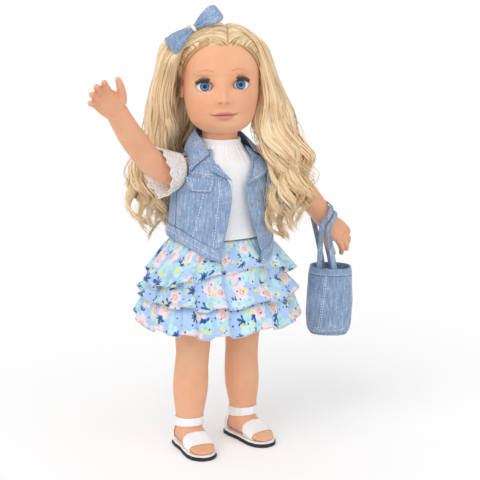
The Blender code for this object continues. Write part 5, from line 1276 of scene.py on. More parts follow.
# %% Ribbons
def ribbons(name, paths, half_wide, half_thick, tones, sides=6):
    """One mesh of closed tapering ribbons, each lying flat on the hair under it."""
    count, rings = paths.shape[:2]
    tangent = np.gradient(paths, axis=1)
    tangent /= np.linalg.norm(tangent, axis=2, keepdims=True) + 1e-12
    middle = np.zeros_like(paths)
    middle[..., :2] = paths[..., :2].mean(axis=(0,), keepdims=True)
    inside = np.array([HEAD_AT.x, HEAD_AT.y, HEAD_AT.z + HEAD_MIDDLE])
    high = np.clip((paths[..., 2:] - 0.39) / 0.03, 0.0, 1.0)
    outward = (paths - middle) * np.array([1.0, 1.0, 0.0]) * (1.0 - high) + (paths - inside) * high
    side = np.cross(tangent, outward)
    side /= np.linalg.norm(side, axis=2, keepdims=True) + 1e-9
    for _ in range(4):
        side[:, 1:-1] = side[:, :-2] + side[:, 1:-1] * 2.0 + side[:, 2:]
        side /= np.linalg.norm(side, axis=2, keepdims=True) + 1e-9
    up = np.cross(side, tangent)
    s = np.linspace(0.0, 1.0, rings)[None, :, None]
    taper = np.clip(1.0 - s**7, 0.04, 1.0) * (0.40 + 0.60 * np.clip(s * 6.0, 0.0, 1.0))
    wide = (half_wide[:, None, None] * taper)[..., None]
    thick = (half_thick[:, None, None] * taper)[..., None]
    angles = np.arange(sides) * math.tau / sides
    c = np.cos(angles)[None, None, :, None]
    n = np.sin(angles)[None, None, :, None]
    verts = paths[:, :, None] + side[:, :, None] * wide * c + up[:, :, None] * thick * n
    base = np.arange(count)[:, None, None] * rings * sides
    ring = np.arange(rings - 1)[None, :, None] * sides
    k = np.arange(sides)[None, None, :]
    after = (k + 1) % sides
    low, high = base + ring, base + ring + sides
    quads = np.stack([low + k, low + after, high + after, high + k], axis=-1)
    first = (np.arange(count) * rings * sides)[:, None]
    starts = first + np.arange(sides)[::-1][None, :]
    tips = first + (rings - 1) * sides + np.arange(sides)[None, :]
    faces = quads.reshape(-1, 4).tolist() + starts.tolist() + tips.tolist()
    mesh = bpy.data.meshes.new(name)
    mesh.from_pydata(verts.reshape(-1, 3).tolist(), [], faces)
    mesh.validate()
    steps = np.linalg.norm(np.diff(paths, axis=1), axis=2)
    gone = np.concatenate([np.zeros((count, 1)), np.cumsum(steps, axis=1)], axis=1)
    across = np.tile(np.cos(angles), count * rings) * np.repeat(half_wide, rings * sides)
    values = {
        "lock_tone": np.repeat(tones, rings * sides),
        "lock_along": np.repeat(gone.ravel(), sides),
        "lock_across": across / MM,
    }
    give_values(mesh, values)
    return closed_piece(name, mesh)


# %% [markdown]
# The fibre is glossy nylon in mixed blondes: its streaks follow each lock, from values that the
# ribbons carry.

# %% Fibre finish
def make_hair_finish(name, low, high, shine):
    """Nylon fibre: streaks run along each lock, and the locks differ in tone."""
    mat, w, shader = finish_of(name, 0.34, Specular_IOR_Level=0.6, Subsurface_Weight=0.0)
    tone = w.own("lock_tone")
    streak_at = w.node(
        "ShaderNodeCombineXYZ",
        {
            0: w.math("MULTIPLY", w.own("lock_across"), 2.6),
            1: w.math("MULTIPLY", w.own("lock_along"), 22.0),
            2: w.math("MULTIPLY", tone, 57.0),
        },
    ).outputs[0]
    streak = w.noise(streak_at, 1.0, 3.0, 0.65)
    slow = w.noise(w.place(), 34.0, 2.0, 0.5)
    streaks = w.math("MULTIPLY", w.smooth(streak, 0.32, 0.68), 0.55)
    value = w.math("ADD", streaks, w.math("MULTIPLY", tone, 0.36))
    value = w.math("ADD", value, w.math("MULTIPLY", slow, 0.30), clamp=True)
    colour = w.mix(w.smooth(value, 0.15, 0.60), linear(low), linear(high))
    colour = w.mix(w.smooth(value, 0.62, 1.0), colour, linear(shine))
    w.put(shader.inputs["Base Color"], colour)
    w.put(shader.inputs["Normal"], w.bump(streak, 0.55, 0.35 * MM))
    return mat


# %% Hair locks
HAIR = make_hair_finish("hair_fibre", "#AE7C4C", "#F6D6A6", "#FFF5DA")
# a darker copy of the fibre for the cores: painted shade deep between the locks
HAIR_PAINTED_SHADE = make_hair_finish("hair_fibre_inside", "#8A5A34", "#C99C66", "#E2BE88")
VIEW_AXES = (tuple(VIEW_RIGHT), tuple(AWAY))
DOLL_AXES = ((1.0, 0.0, 0.0), (0.0, 1.0, 0.0))
FALLS = (
    ("right", -1, RIGHT_ROUTE, VIEW_AXES, 220, 8, 0.238),
    ("left", 1, LEFT_ROUTE, VIEW_AXES, 230, 8, 0.240),
    ("back", 0, BACK_ROUTE, DOLL_AXES, 190, 9, 0.226),
)


def hang(obj):
    """Bakes the fall's placing into its points; nothing ties it to the head or the back."""
    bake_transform(obj)


# %% [markdown]
# Between the locks the real hair is a dense mass, so each fall and the cap get a closed core, dark
# with painted shade: the same fibre in a darker copy.
# The cap's core is the CAD piece, thinned and tipped back to make room for the locks' roots.

# %% Cores of the hair
CORE_RINGS = 40
CORE_SIDES = 32
CORE_TONE = 0.4
CAP_VOXEL = 1.6 * MM
CAP_THICKNESS_KEPT = 0.30
CAP_TIP = 0.062


def make_fall_core(name, route, axes, ends):
    """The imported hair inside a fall: a closed loft through the middle of its sections."""
    heights = np.linspace(route[0][0] * MM - 0.004, ends + 0.030, CORE_RINGS)
    turns = (np.arange(CORE_SIDES) * math.tau / CORE_SIDES)[None, :] * np.ones((CORE_RINGS, 1))
    reach = 0.66 * np.clip((heights - ends - 0.012) / 0.05, 0.15, 1.0)
    reach = reach[:, None] * (1.0 + 0.10 * np.cos(turns * 5.0 + heights[:, None] * 60.0))
    points = fall_point(route, axes, heights[:, None] * np.ones_like(turns), turns, reach)
    faces = []
    for r in range(CORE_RINGS - 1):
        for k in range(CORE_SIDES):
            a, b = r * CORE_SIDES + k, r * CORE_SIDES + (k + 1) % CORE_SIDES
            faces.append((a, b, b + CORE_SIDES, a + CORE_SIDES))
    faces.append(tuple(range(CORE_SIDES - 1, -1, -1)))
    faces.append(tuple((CORE_RINGS - 1) * CORE_SIDES + k for k in range(CORE_SIDES)))
    mesh = bpy.data.meshes.new(name)
    mesh.from_pydata(points.reshape(-1, 3).tolist(), [], faces)
    around = np.tile(np.arange(CORE_SIDES) * 0.9, CORE_RINGS)
    down = np.repeat(heights, CORE_SIDES)
    tone = np.full(len(around), CORE_TONE)
    give_values(mesh, {"lock_tone": tone, "lock_along": down, "lock_across": around})
    return closed_piece(name, mesh)


def make_cap_core():
    """The rooted hair close to the scalp: the cap, thinned to make room for the locks."""
    cap = moulded("hair_cap", "hair_cap_inside", CAP_VOXEL, 14)
    points = points_of(cap)
    tone = np.full(len(points), CORE_TONE)
    around = np.arctan2(points[:, 1] - 0.01, points[:, 0]) * 60.0
    give_values(cap.data, {"lock_tone": tone, "lock_along": points[:, 2], "lock_across": around})
    spots = to_head(points) - HEAD_CENTRE
    reach = np.linalg.norm(spots, axis=1)
    ground = np.linalg.norm(on_scalp(spots, 0.0) - HEAD_CENTRE, axis=1)
    kept = ground + (reach - ground) * CAP_THICKNESS_KEPT
    x, y, z = (spots * (kept / reach)[:, None]).T
    tipped = np.stack([x, y + z * CAP_TIP, z - y * CAP_TIP], axis=1)
    move_points(cap, to_doll(tipped + HEAD_CENTRE))
    return cap


# %% [markdown]
# Each fall is its core, its locks and its fine strands.

# %% Hang the falls
STRANDS_PER_FALL = 170
cap = make_cap_core()
dressed(cap, HAIR_PAINTED_SHADE, "head", "hair_fibre", "hair_cap")
for number, (word, side, route, axes, count, clumps, ends) in enumerate(FALLS):
    core = make_fall_core("hair_%s_inside" % word, route, axes, ends)
    paths, rng = hair_paths(7 + number, side, route, axes, count, clumps, ends=ends)
    locks = ribbons(
        "hair_%s_locks" % word,
        paths,
        rng.uniform(1.9, 3.5, count) * MM,
        rng.uniform(0.8, 1.2, count) * MM,
        rng.uniform(0.0, 1.0, count),
    )
    fine = STRANDS_PER_FALL
    paths, rng = hair_paths(
        107 + number, side, route, axes, fine, clumps, stray=0.35, ends=ends + 0.004
    )
    strands = ribbons(
        "hair_%s_strands" % word,
        paths,
        rng.uniform(0.30, 0.60, fine) * MM,
        rng.uniform(0.20, 0.32, fine) * MM,
        rng.uniform(0.3, 1.0, fine),
        sides=4,
    )
    for piece, finish in ((core, HAIR_PAINTED_SHADE), (locks, HAIR), (strands, HAIR)):
        shade_and_fill(piece, finish)
        hang(piece)
    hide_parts("hair_%s_fall" % word)
    print(word, "hair faces:", len(locks.data.polygons), len(strands.data.polygons))

# %% [markdown]
# ## Cloth finishes
#
# The waistcoat, bag and bow are sewn from chambray: a white weft through blue warps, so the
# colour breaks into pale and dark slubs that run down the cloth. The top is a fine white jersey,
# the sleeves are machine lace, and the skirt is a printed lawn. The skirt's print follows the
# photo in its colours and scale only: the flowers, leaves and their layout are made up here.

# %% Cloth finishes
SLUB = (620.0, 620.0, 70.0)
HEATHER = (980.0, 980.0, 460.0)


def flat_place(w):
    """Rough coordinates on upright cloth: round the piece, and up."""
    parts = w.node("ShaderNodeSeparateXYZ", {0: w.place()}).outputs
    across = w.math("MULTIPLY_ADD", parts["Y"], 0.6, parts["X"])
    return w.node("ShaderNodeCombineXYZ", {0: across, 1: parts["Z"]}).outputs[0]


# %% [markdown]
# Chambray: pale and dark slubs over a twill, for waistcoat, bag and bow.

# %% Chambray
def make_denim():
    mat, w, shader = finish_of("denim", 0.86, Specular_IOR_Level=0.25, Sheen_Weight=0.25)
    slub = w.noise(w.scaled(w.place(), SLUB), 1.0, 3.0, 0.7)
    heather = w.noise(w.scaled(w.place(), HEATHER), 1.0, 2.0, 0.8)
    tone = w.math("ADD", w.math("MULTIPLY", slub, 0.55), w.math("MULTIPLY", heather, 0.45))
    slow = w.noise(w.place(), 55.0, 2.0, 0.5)
    tone = w.math("ADD", tone, w.math("MULTIPLY", w.math("SUBTRACT", slow, 0.5), 0.25))
    colour = w.mix(w.smooth(tone, 0.33, 0.50), linear("#6882A6"), linear("#8FA7C8"))
    colour = w.mix(w.smooth(tone, 0.50, 0.66), colour, linear("#C6D3E6"))
    w.put(shader.inputs["Base Color"], colour)
    twill = w.group(WEAVE, {"Vector": flat_place(w), "Thread": 0.0011, "Slant": 1.0})["Height"]
    height = w.math("ADD", w.math("MULTIPLY", twill, 0.4), w.math("MULTIPLY", heather, 0.6))
    w.put(shader.inputs["Normal"], w.bump(height, 0.5, 0.35 * MM))
    return mat


# %% [markdown]
# White cloths: jersey, tape and thread differ in the size of their weave, and the lace has a net.

# %% White cloths and lace
def make_white_cloth(name, thread, slant, low, high, strength):
    mat, w, shader = finish_of(name, 0.80, Specular_IOR_Level=0.25, Sheen_Weight=0.15)
    tone = w.group(UNEVEN, {"Vector": w.place(), "Patch": 0.012, "Fibre": 0.0012})["Tone"]
    w.put(shader.inputs["Base Color"], w.mix(w.smooth(tone, 0.35, 0.65), linear(low), linear(high)))
    weave = w.group(WEAVE, {"Vector": flat_place(w), "Thread": thread, "Slant": slant})["Height"]
    w.put(shader.inputs["Normal"], w.bump(weave, strength, 0.30 * MM))
    return mat


def make_lace():
    """Net between solid petals: its holes are painted in the tone of the skin under them."""
    mat, w, shader = finish_of("white_lace", 0.78, Specular_IOR_Level=0.2, Subsurface_Weight=0.0)
    cells = {"Vector": w.place(), "Scale": 300.0}
    net = w.node("ShaderNodeTexVoronoi", cells, feature="DISTANCE_TO_EDGE").outputs["Distance"]
    flower = {"Cell": 0.0125, "Reach": 0.0056, "Petals": 6.0, "Depth": 0.55}
    flower.update({"Vector": flat_place(w), "Lean": 0.0, "Keep": 1.0, "Soft": 0.0009})
    petals = w.group(SCATTER, flower)
    ring = w.math("ABSOLUTE", w.math("SUBTRACT", petals["Shade"], 0.42))
    solid = w.math("MULTIPLY", petals["Mask"], w.smooth(ring, 0.04, 0.12))
    hole = w.math("MULTIPLY", w.smooth(net, 0.10, 0.24), w.math("SUBTRACT", 1.0, solid))
    hole = w.math("MULTIPLY", hole, w.math("SUBTRACT", 1.0, w.own("lace_edge")))
    w.put(shader.inputs["Base Color"], w.mix(hole, linear("#F6F5F3"), linear("#E9D5CA")))
    height = w.math("SUBTRACT", w.math("MULTIPLY", solid, 0.5), w.math("MULTIPLY", hole, 0.8))
    w.put(shader.inputs["Normal"], w.bump(height, 0.8, 0.5 * MM))
    return mat


# %% [markdown]
# The print: seven layers of one scattered petal shape, from sprigs to dots. A thin painted
# highlight lightens the cloth along its hem.

# %% Skirt print
PRINT_SHAPES = (
    # shift, cell, reach, petals, depth, lean, share kept, outer and inner colour, middle
    ((0.0047, 0.0131, 0.0), 0.0190, 0.0072, 7.0, 0.72, 0.35, 0.62, "#3B6BAE", "#2B5797", 0.4),
    ((0.0213, 0.0071, 0.0), 0.0210, 0.0092, 2.0, 0.60, 0.25, 0.85, "#BDE8EE", "#9FD8E4", 0.2),
    ((0.0093, 0.0339, 0.0), 0.0260, 0.0085, 3.0, 0.55, 0.15, 0.60, "#D0EFF3", "#AFE0EA", 0.2),
    ((0.0011, 0.0023, 0.0), 0.0270, 0.0104, 5.0, 0.36, 0.12, 0.85, "#F7E4EB", "#EDB9CC", 0.34),
    ((0.0011, 0.0023, 0.0), 0.0270, 0.0019, 5.0, 0.20, 0.0, 0.85, "#F4EA80", "#F8F2A8", 0.3),
    ((0.0313, 0.0173, 0.0), 0.0150, 0.0032, 3.0, 0.45, 0.3, 0.60, "#F6EE8C", "#F2E468", 0.4),
    ((0.0173, 0.0273, 0.0), 0.0085, 0.0012, 1.0, 0.0, 0.0, 0.40, "#2B5797", "#2B5797", 0.5),
)


def printed(w, colour, shift, *numbers_and_colours):
    """Lays one scattered shape over a colour, with its own colour in the middle."""
    cell, reach, petals, depth, lean, keep, outer, inner, share = numbers_and_colours
    at = w.vector("ADD", w.cloth_place(), shift)
    values = {"Vector": at, "Cell": cell, "Reach": reach, "Petals": petals, "Depth": depth}
    values.update({"Lean": lean, "Keep": keep, "Soft": 0.00035})
    shape = w.group(SCATTER, values)
    middle = w.smooth(shape["Shade"], share - 0.08, share + 0.08)
    return w.mix(shape["Mask"], colour, w.mix(middle, linear(inner), linear(outer)))


def make_print():
    mat, w, shader = finish_of("printed_cotton", 0.82, Specular_IOR_Level=0.25, Sheen_Weight=0.2)
    tone = w.group(UNEVEN, {"Vector": w.cloth_place(), "Patch": 0.02, "Fibre": 0.0010})["Tone"]
    colour = w.mix(w.smooth(tone, 0.35, 0.65), linear("#AFCDF7"), linear("#BED8FC"))
    for shape in PRINT_SHAPES:
        colour = printed(w, colour, *shape)
    # painted highlight along the hem edge, within about a millimetre of it
    colour = w.mix(w.smooth(w.own("from_hem"), 0.9, 0.5), colour, linear("#F3F5F8"))
    w.put(shader.inputs["Base Color"], colour)
    weave = w.group(WEAVE, {"Vector": w.cloth_place(), "Thread": 0.0007, "Slant": 0.0})["Height"]
    w.put(shader.inputs["Normal"], w.bump(weave, 0.25, 0.2 * MM))
    return mat


# %% [markdown]
# The sandals' parts are moulded or cut from sheet with a fine grain.

# %% Moulded finishes
def make_moulded_finish(name, low, high, roughness, grain, strength):
    mat, w, shader = finish_of(name, roughness, Specular_IOR_Level=0.4)
    tone = w.noise(w.place(), 90.0, 3.0, 0.6)
    w.put(shader.inputs["Base Color"], w.mix(w.smooth(tone, 0.35, 0.65), linear(low), linear(high)))
    w.put(shader.inputs["Normal"], w.bump(w.noise(w.place(), grain, 2.0, 0.6), strength, 0.2 * MM))
    return mat


DENIM = make_denim()
KNIT = make_white_cloth("white_knit", 0.0010, 0.0, "#F5F6F8", "#FFFFFF", 0.35)
TAPE = make_white_cloth("white_tape", 0.0012, 0.0, "#F0F0F0", "#FBFBFB", 0.5)
THREAD = make_white_cloth("white_thread", 0.0006, 1.0, "#E8ECF2", "#F7F8FA", 0.4)
LACE = make_lace()
PRINT = make_print()
STRAP = make_moulded_finish("white_strap", "#FAFAFA", "#FFFFFF", 0.42, 1500.0, 0.25)
FOOTBED = make_moulded_finish("white_footbed", "#F4F2EE", "#FBFAF8", 0.60, 900.0, 0.35)
SOLE = make_moulded_finish("black_sole", "#232325", "#303033", 0.62, 700.0, 0.50)

# %% [markdown]
# ## Waistcoat, top and lace sleeves
#
# Each sewn panel keeps its own CAD piece: it is merged, its sharp edges are creased, it is
# subdivided, and both faces of the cloth are moved together into soft wrinkles. The topstitching
# is real: single stitches laid on the finished panels along paths given by an angle round the
# body and a height.

# %% Waistcoat, top and sleeves
STITCH_STEP = 2.9 * MM
STITCH_LENGTH = 2.0 * MM
STITCH_RADIUS = 0.30 * MM
FACES_PER_STITCH = 26
NARROWEST = 10.5 * MM
# share of a panel's rectangle that its cloth fills, a guess for every panel
CUT_FILL = 0.9
AXIS_Y = 0.004
RAY_REACH = 0.2


def softened(node, name, levels, folds, degrees=38.0, amount=0.8, middle=(0.0, AXIS_Y)):
    """A sewn panel with soft wrinkles: folds are (size, stretch up, height, seed)."""
    obj = copy_of(node, name)
    creased(obj, degrees, amount)
    subdivided(obj, levels)
    points = points_of(obj)
    out = points[:, :2] - np.array(middle)
    out /= np.linalg.norm(out, axis=1, keepdims=True)
    push = np.zeros(len(points))
    for size, stretch, height, seed in folds:
        push += ripple(points * np.array([1.0, 1.0, stretch]), size, seed) * height
    points[:, :2] += out * push[:, None]
    move_points(obj, points)
    return obj


def cloth_area(obj):
    """Area of one face of a sheet that is modelled with its thickness."""
    return sum(p.area for p in obj.data.polygons) / 2.0


def declare(obj, length):
    """Works out a cloth piece's cut length from its area and a given length; the result is not
    kept.
    """
    area = cloth_area(obj)
    length = max(length, NARROWEST)
    if area / (length * CUT_FILL) < NARROWEST:
        length = max(area / (NARROWEST * CUT_FILL), NARROWEST)


# %% [markdown]
# The topstitching is real on the object and shows as light dashes, so single stitches are laid on
# the finished panels. Each is a short closed spindle.

# %% Stitches
def stitches(name, tree, paths, spot, body):
    """Single stitches along paths on finished cloth; spot turns a path's two values into a ray."""
    rings = ((-0.5, 0.25), (-0.38, 0.85), (0.0, 1.0), (0.38, 0.85), (0.5, 0.25))
    verts, faces = [], []
    for path in paths:
        hits = []
        for (a0, b0), (a1, b1) in zip(path[:-1], path[1:]):
            count = max(2, int(max(abs(a1 - a0) * 1.0, abs(b1 - b0)) * 2.0))
            for k in range(count):
                t = k / count
                start, toward = spot(a0 + (a1 - a0) * t, b0 + (b1 - b0) * t)
                place, normal = tree.ray_cast(start, toward)[:2]
                if place is not None:
                    hits.append((place, normal))
        gone, due = 0.0, 0.0
        for (before, _), (place, normal) in zip(hits[:-1], hits[1:]):
            step = (place - before).length
            if step > 4.0 * MM:
                continue
            gone += step
            if gone < due or step < 1e-6:
                continue
            due = gone + STITCH_STEP
            along = (place - before).normalized()
            side = normal.cross(along).normalized()
            base = len(verts)
            for share, size in rings:
                for k in range(6):
                    turn = math.tau * k / 6
                    offset = side * math.cos(turn) * 1.15 + normal * math.sin(turn) * 0.75
                    centre = place + along * (share * STITCH_LENGTH) + normal * 0.12 * MM
                    verts.append(centre + offset * (STITCH_RADIUS * size))
            for r in range(len(rings) - 1):
                for k in range(6):
                    a, b = base + r * 6 + k, base + r * 6 + (k + 1) % 6
                    faces.append((a, b, b + 6, a + 6))
            faces.append(tuple(base + k for k in range(5, -1, -1)))
            faces.append(tuple(base + 24 + k for k in range(6)))
    mesh = bpy.data.meshes.new(name)
    mesh.from_pydata(verts, [], faces)
    return dressed(closed_piece(name, mesh), THREAD, body, "white_knit")


def round_body(angle, height):
    """A ray towards the doll's middle, for stitches on the waistcoat."""
    turn = math.radians(angle)
    out = Vector((math.cos(turn), math.sin(turn), 0.0))
    return Vector((0.0, AXIS_Y, height * MM)) + out * RAY_REACH, -out


def hem_line(angle):
    return 226.0 - 28.0 * max(-math.sin(math.radians(angle)), 0.0) ** 2


# %% [markdown]
# The waistcoat is cut from nine panels. The right front hangs further over the top than its CAD
# piece, and its pocket flap is wider, as in the photo.

# %% Waistcoat panels
FOLDS = ((0.016, 0.7, 0.55 * MM, 3), (0.006, 0.6, 0.16 * MM, 9))
VEST_PIECES = (
    ("vest_back", 0.11),
    ("vest_front_left", 0.10),
    ("vest_front_right", 0.10),
    ("vest_hem_band", 0.015),
    ("vest_collar", 0.030),
    ("vest_left_lapel", 0.030),
    ("vest_right_lapel", 0.030),
    ("vest_left_pocket_flap", 0.014),
    ("vest_right_pocket_flap", 0.014),
)


def lapped(obj):
    """Brings the right front further over the top, as it hangs in the photo."""
    points = points_of(obj)
    angle = np.degrees(np.arctan2(points[:, 1] - AXIS_Y, points[:, 0]))
    near = np.clip((angle + 152.0) / 34.0, 0.0, 1.0) * (angle < -96.0)
    low = np.clip((0.318 - points[:, 2]) / 0.026, 0.0, 1.0)
    turn = np.radians(6.5 * near * near * (3.0 - 2.0 * near) * low)
    x, y = points[:, 0].copy(), points[:, 1] - AXIS_Y
    points[:, 0] = x * np.cos(turn) - y * np.sin(turn)
    points[:, 1] = x * np.sin(turn) + y * np.cos(turn) + AXIS_Y
    points[:, 1] -= 0.0012 * near * low
    move_points(obj, points)


def round_surface(tree, angle, height):
    """Distance of the finished cloth from the doll's middle line, or none."""
    out = Vector((math.cos(angle), math.sin(angle), 0.0))
    start = Vector((0.0, AXIS_Y, height)) + out * RAY_REACH
    reach = tree.ray_cast(start, -out)[3]
    return None if reach is None else RAY_REACH - reach


def spread_flap(obj, tree):
    """Widens the right pocket flap to its size in the photo, with round lower corners."""
    points = points_of(obj)
    angles = np.arctan2(points[:, 1] - AXIS_Y, points[:, 0])
    first, last = angles.min(), angles.max()
    top = points[:, 2].max()
    middle = (first + last) / 2.0
    ground = round_surface(tree, middle, top - 0.006)
    for k, (angle, point) in enumerate(zip(angles, points)):
        share = (angle - first) / (last - first)
        turned = math.radians(FLAP_ENDS[0]) * (1.0 - share) + math.radians(FLAP_ENDS[1]) * share
        drop = (top - point[2]) * (1.0 - 0.40 * abs(2.0 * share - 1.0) ** 4)
        height = top - 0.002 * share - drop
        before = round_surface(tree, angle, point[2]) or ground
        after = round_surface(tree, turned, height)
        after = after or round_surface(tree, turned + 0.12, height) or ground
        reach = after + math.hypot(point[0], point[1] - AXIS_Y) - before
        points[k] = (reach * math.cos(turned), reach * math.sin(turned) + AXIS_Y, height)
    move_points(obj, points)


FLAP_ENDS = (-160.0, -127.0)
vest = []
for node, length in VEST_PIECES:
    piece = softened(node, node + "_cloth", 3 if "flap" in node or "lapel" in node else 2, FOLDS)
    if node in ("vest_front_right", "vest_hem_band", "vest_right_lapel"):
        lapped(piece)
    if node == "vest_right_pocket_flap":
        spread_flap(piece, tree_of(*vest[:4]))
    dressed(piece, DENIM, "torso", "denim", node)
    vest.append(piece)
# %% [markdown]
# The seams follow the panels' edges. They are written down as angles and heights, read from the
# photo for the front and guessed for the back.

# %% Waistcoat seams
# heights of the hem band's two seams over the hem, in mm
HEM_SEAMS = (1.6, 13.2)
# angle round the body in degrees and height in mm, along each seam
VEST_SEAMS = [
    [(-105.5, 269.0), (-112.0, 236.0), (-117.5, 207.0)],
    [(-84.0, 264.0), (-77.5, 234.0), (-67.0, 210.5)],
    [(-180.0, 305.5), (-150.0, 304.5), (-131.0, 303.0)],
    [(-2.0, 305.5), (-34.0, 304.0)],
    [(-175.0, 300.0), (-178.0, 236.0)],
    [(-138.5, 286.0), (-149.5, 238.0)],
    [(-120.5, 296.0), (-127.6, 224.0)],
    [(-44.0, 286.0), (-33.0, 238.0)],
    [(-55.0, 288.0), (-48.0, 224.0)],
    [(-158.0, 309.0), (-149.0, 315.0), (-141.0, 320.5)],
    [(-128.0, 311.0), (-116.0, 305.5), (-103.0, 298.5)],
    [(-41.0, 305.5), (-60.0, 299.5), (-84.0, 294.0)],
    [(-52.0, 322.0), (-44.0, 314.0)],
    [(90.0, 305.0), (40.0, 305.0), (8.0, 305.0)],
    [(90.0, 305.0), (140.0, 305.0), (172.0, 305.0)],
]
for lift in HEM_SEAMS:
    for first, last in ((-118.0, -240.0), (-68.0, 120.0)):
        angles = np.linspace(first, last, 24)
        VEST_SEAMS.append([(float(a), hem_line(a) + lift) for a in angles])
for flap in vest[-2:]:
    spots = points_of(flap) - np.array([0.0, AXIS_Y, 0.0])
    turns = np.degrees(np.arctan2(spots[:, 1], spots[:, 0]))
    turns = np.where(turns > 90.0, turns - 360.0, turns)
    first, last = turns.min() + 2.0, turns.max() - 2.0
    low, high = spots[:, 2].min() / MM + 1.7, spots[:, 2].max() / MM - 1.0
    VEST_SEAMS.append([(first, high), (first + 3.0, low), (last - 3.0, low), (last, high)])
vest_tree = tree_of(*vest)
vest_stitches = stitches("vest_stitches", vest_tree, VEST_SEAMS, round_body, "torso")
for piece, (node, length) in zip(vest, VEST_PIECES):
    declare(piece, length)
print("Waistcoat stitches:", len(vest_stitches.data.polygons) // FACES_PER_STITCH)

# %% [markdown]
# The top is jersey, gathered under a neckband. The gathers are small waves below the band.

# %% Top
NECKBAND = 0.3296
GATHER_DEPTH = 0.45 * MM
top = copy_of("knit_top", "knit_top_cloth")
creased(top, 60.0, 0.7)
subdivided(top, 3)
spots = points_of(top)
outward = spots[:, :2] - np.array([0.0, AXIS_Y])
around = np.arctan2(outward[:, 1], outward[:, 0])
outward /= np.linalg.norm(outward, axis=1, keepdims=True)
above = spots[:, 2] - NECKBAND
gather = np.clip((above + 0.026) / 0.020, 0.0, 1.0) * np.clip(-above / 0.0015, 0.0, 1.0)
push = gather * GATHER_DEPTH * np.cos(around * 34.0 + 3.0 * np.cos(around * 5.0))
push += 0.25 * MM * np.clip(above / 0.0006, 0.0, 1.0) - 0.35 * MM * np.exp(-((above / 0.0007) ** 2))
wrinkles = ripple(spots * np.array([1.0, 1.0, 0.45]), 0.017, 21)
push += wrinkles * 0.9 * MM * np.clip((0.33 - spots[:, 2]) / 0.03, 0.1, 1.0)
spots[:, :2] += outward * push[:, None]
move_points(top, spots)
dressed(top, KNIT, "torso", "white_knit", "knit_top")
declare(top, 0.11)

# %% [markdown]
# The sleeves are cut from lace with a pointed edge.

# %% Lace sleeves
EDGE_BINS = 48
SLEEVE_LENGTH = 0.038
for word, side in (("right", -1.0), ("left", 1.0)):
    sleeve = copy_of(word + "_lace_sleeve", word + "_sleeve_lace")
    creased(sleeve, 60.0, 0.6)
    subdivided(sleeve, 3)
    spots = points_of(sleeve)
    shoulder = np.array([side * 0.055, 0.0048, 0.303])
    along = spots.mean(axis=0) - shoulder
    along /= np.linalg.norm(along)
    first = np.cross(along, [0.0, 1.0, 0.0])
    first /= np.linalg.norm(first)
    second = np.cross(along, first)
    offset = spots - shoulder
    reach = offset @ along
    turn = np.arctan2(offset @ second, offset @ first)
    bins = ((turn + math.pi) / math.tau * EDGE_BINS).astype(int) % EDGE_BINS
    members = [bins == k for k in range(EDGE_BINS)]
    edge = np.array([reach[own].max() if own.any() else reach.max() for own in members])
    edge = (edge + np.roll(edge, 1) + np.roll(edge, -1)) / 3.0
    near = np.clip(1.0 - (edge[bins] - reach) / 0.006, 0.0, 1.0)
    points = np.abs(((turn * 15.0 / math.tau) % 1.0) - 0.5) * 4.0 - 1.0
    radial = offset - np.outer(reach, along)
    radial /= np.linalg.norm(radial, axis=1, keepdims=True)
    flare = np.clip(1.0 - (edge[bins] - reach) / 0.022, 0.0, 1.0)
    wave = np.cos(turn * 9.0 + 1.0) * 0.9 * MM * flare
    spots = spots + np.outer(points * near * 1.5 * MM, along) + radial * wave[:, None]
    move_points(sleeve, spots)
    give_values(sleeve.data, {"lace_edge": np.clip((near - 0.72) / 0.12, 0.0, 1.0)})
    shade_and_fill(sleeve, LACE)
    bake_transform(sleeve)
    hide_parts(word + "_lace_sleeve")
    declare(sleeve, SLEEVE_LENGTH)

# %% [markdown]
# ## Skirt
#
# Three gathered tiers of printed lawn, each sewn inside the one above. The folds are the same
# round for every tier, so they nest. The cloth is built from its seam to its hem with a map of
# its flat size, so the print keeps its scale. The folds are a displacement in code: no cloth
# simulation was tried, and how the folds of the real skirt are set isn't known.

# %% Skirt
TIER_COLUMNS = 390
TIER_ROWS = 18
CLOTH_THICKNESS = 0.9 * MM
FOLD_DEPTH = 5.0 * MM


def fold_at(angle):
    """Folds with flat tops and steep sides, a little uneven round the skirt."""
    uneven = 13.0 * angle + 0.2 + 0.35 * np.sin(3.0 * angle + 0.4)
    folded = np.tanh(2.8 * np.cos(uneven)) / math.tanh(2.8)
    return folded * 0.74 + np.cos(5.0 * angle + 0.7) * 0.38


# %% [markdown]
# A tier is a closed double skin: rows of points from seam to hem, with the folds growing downwards.

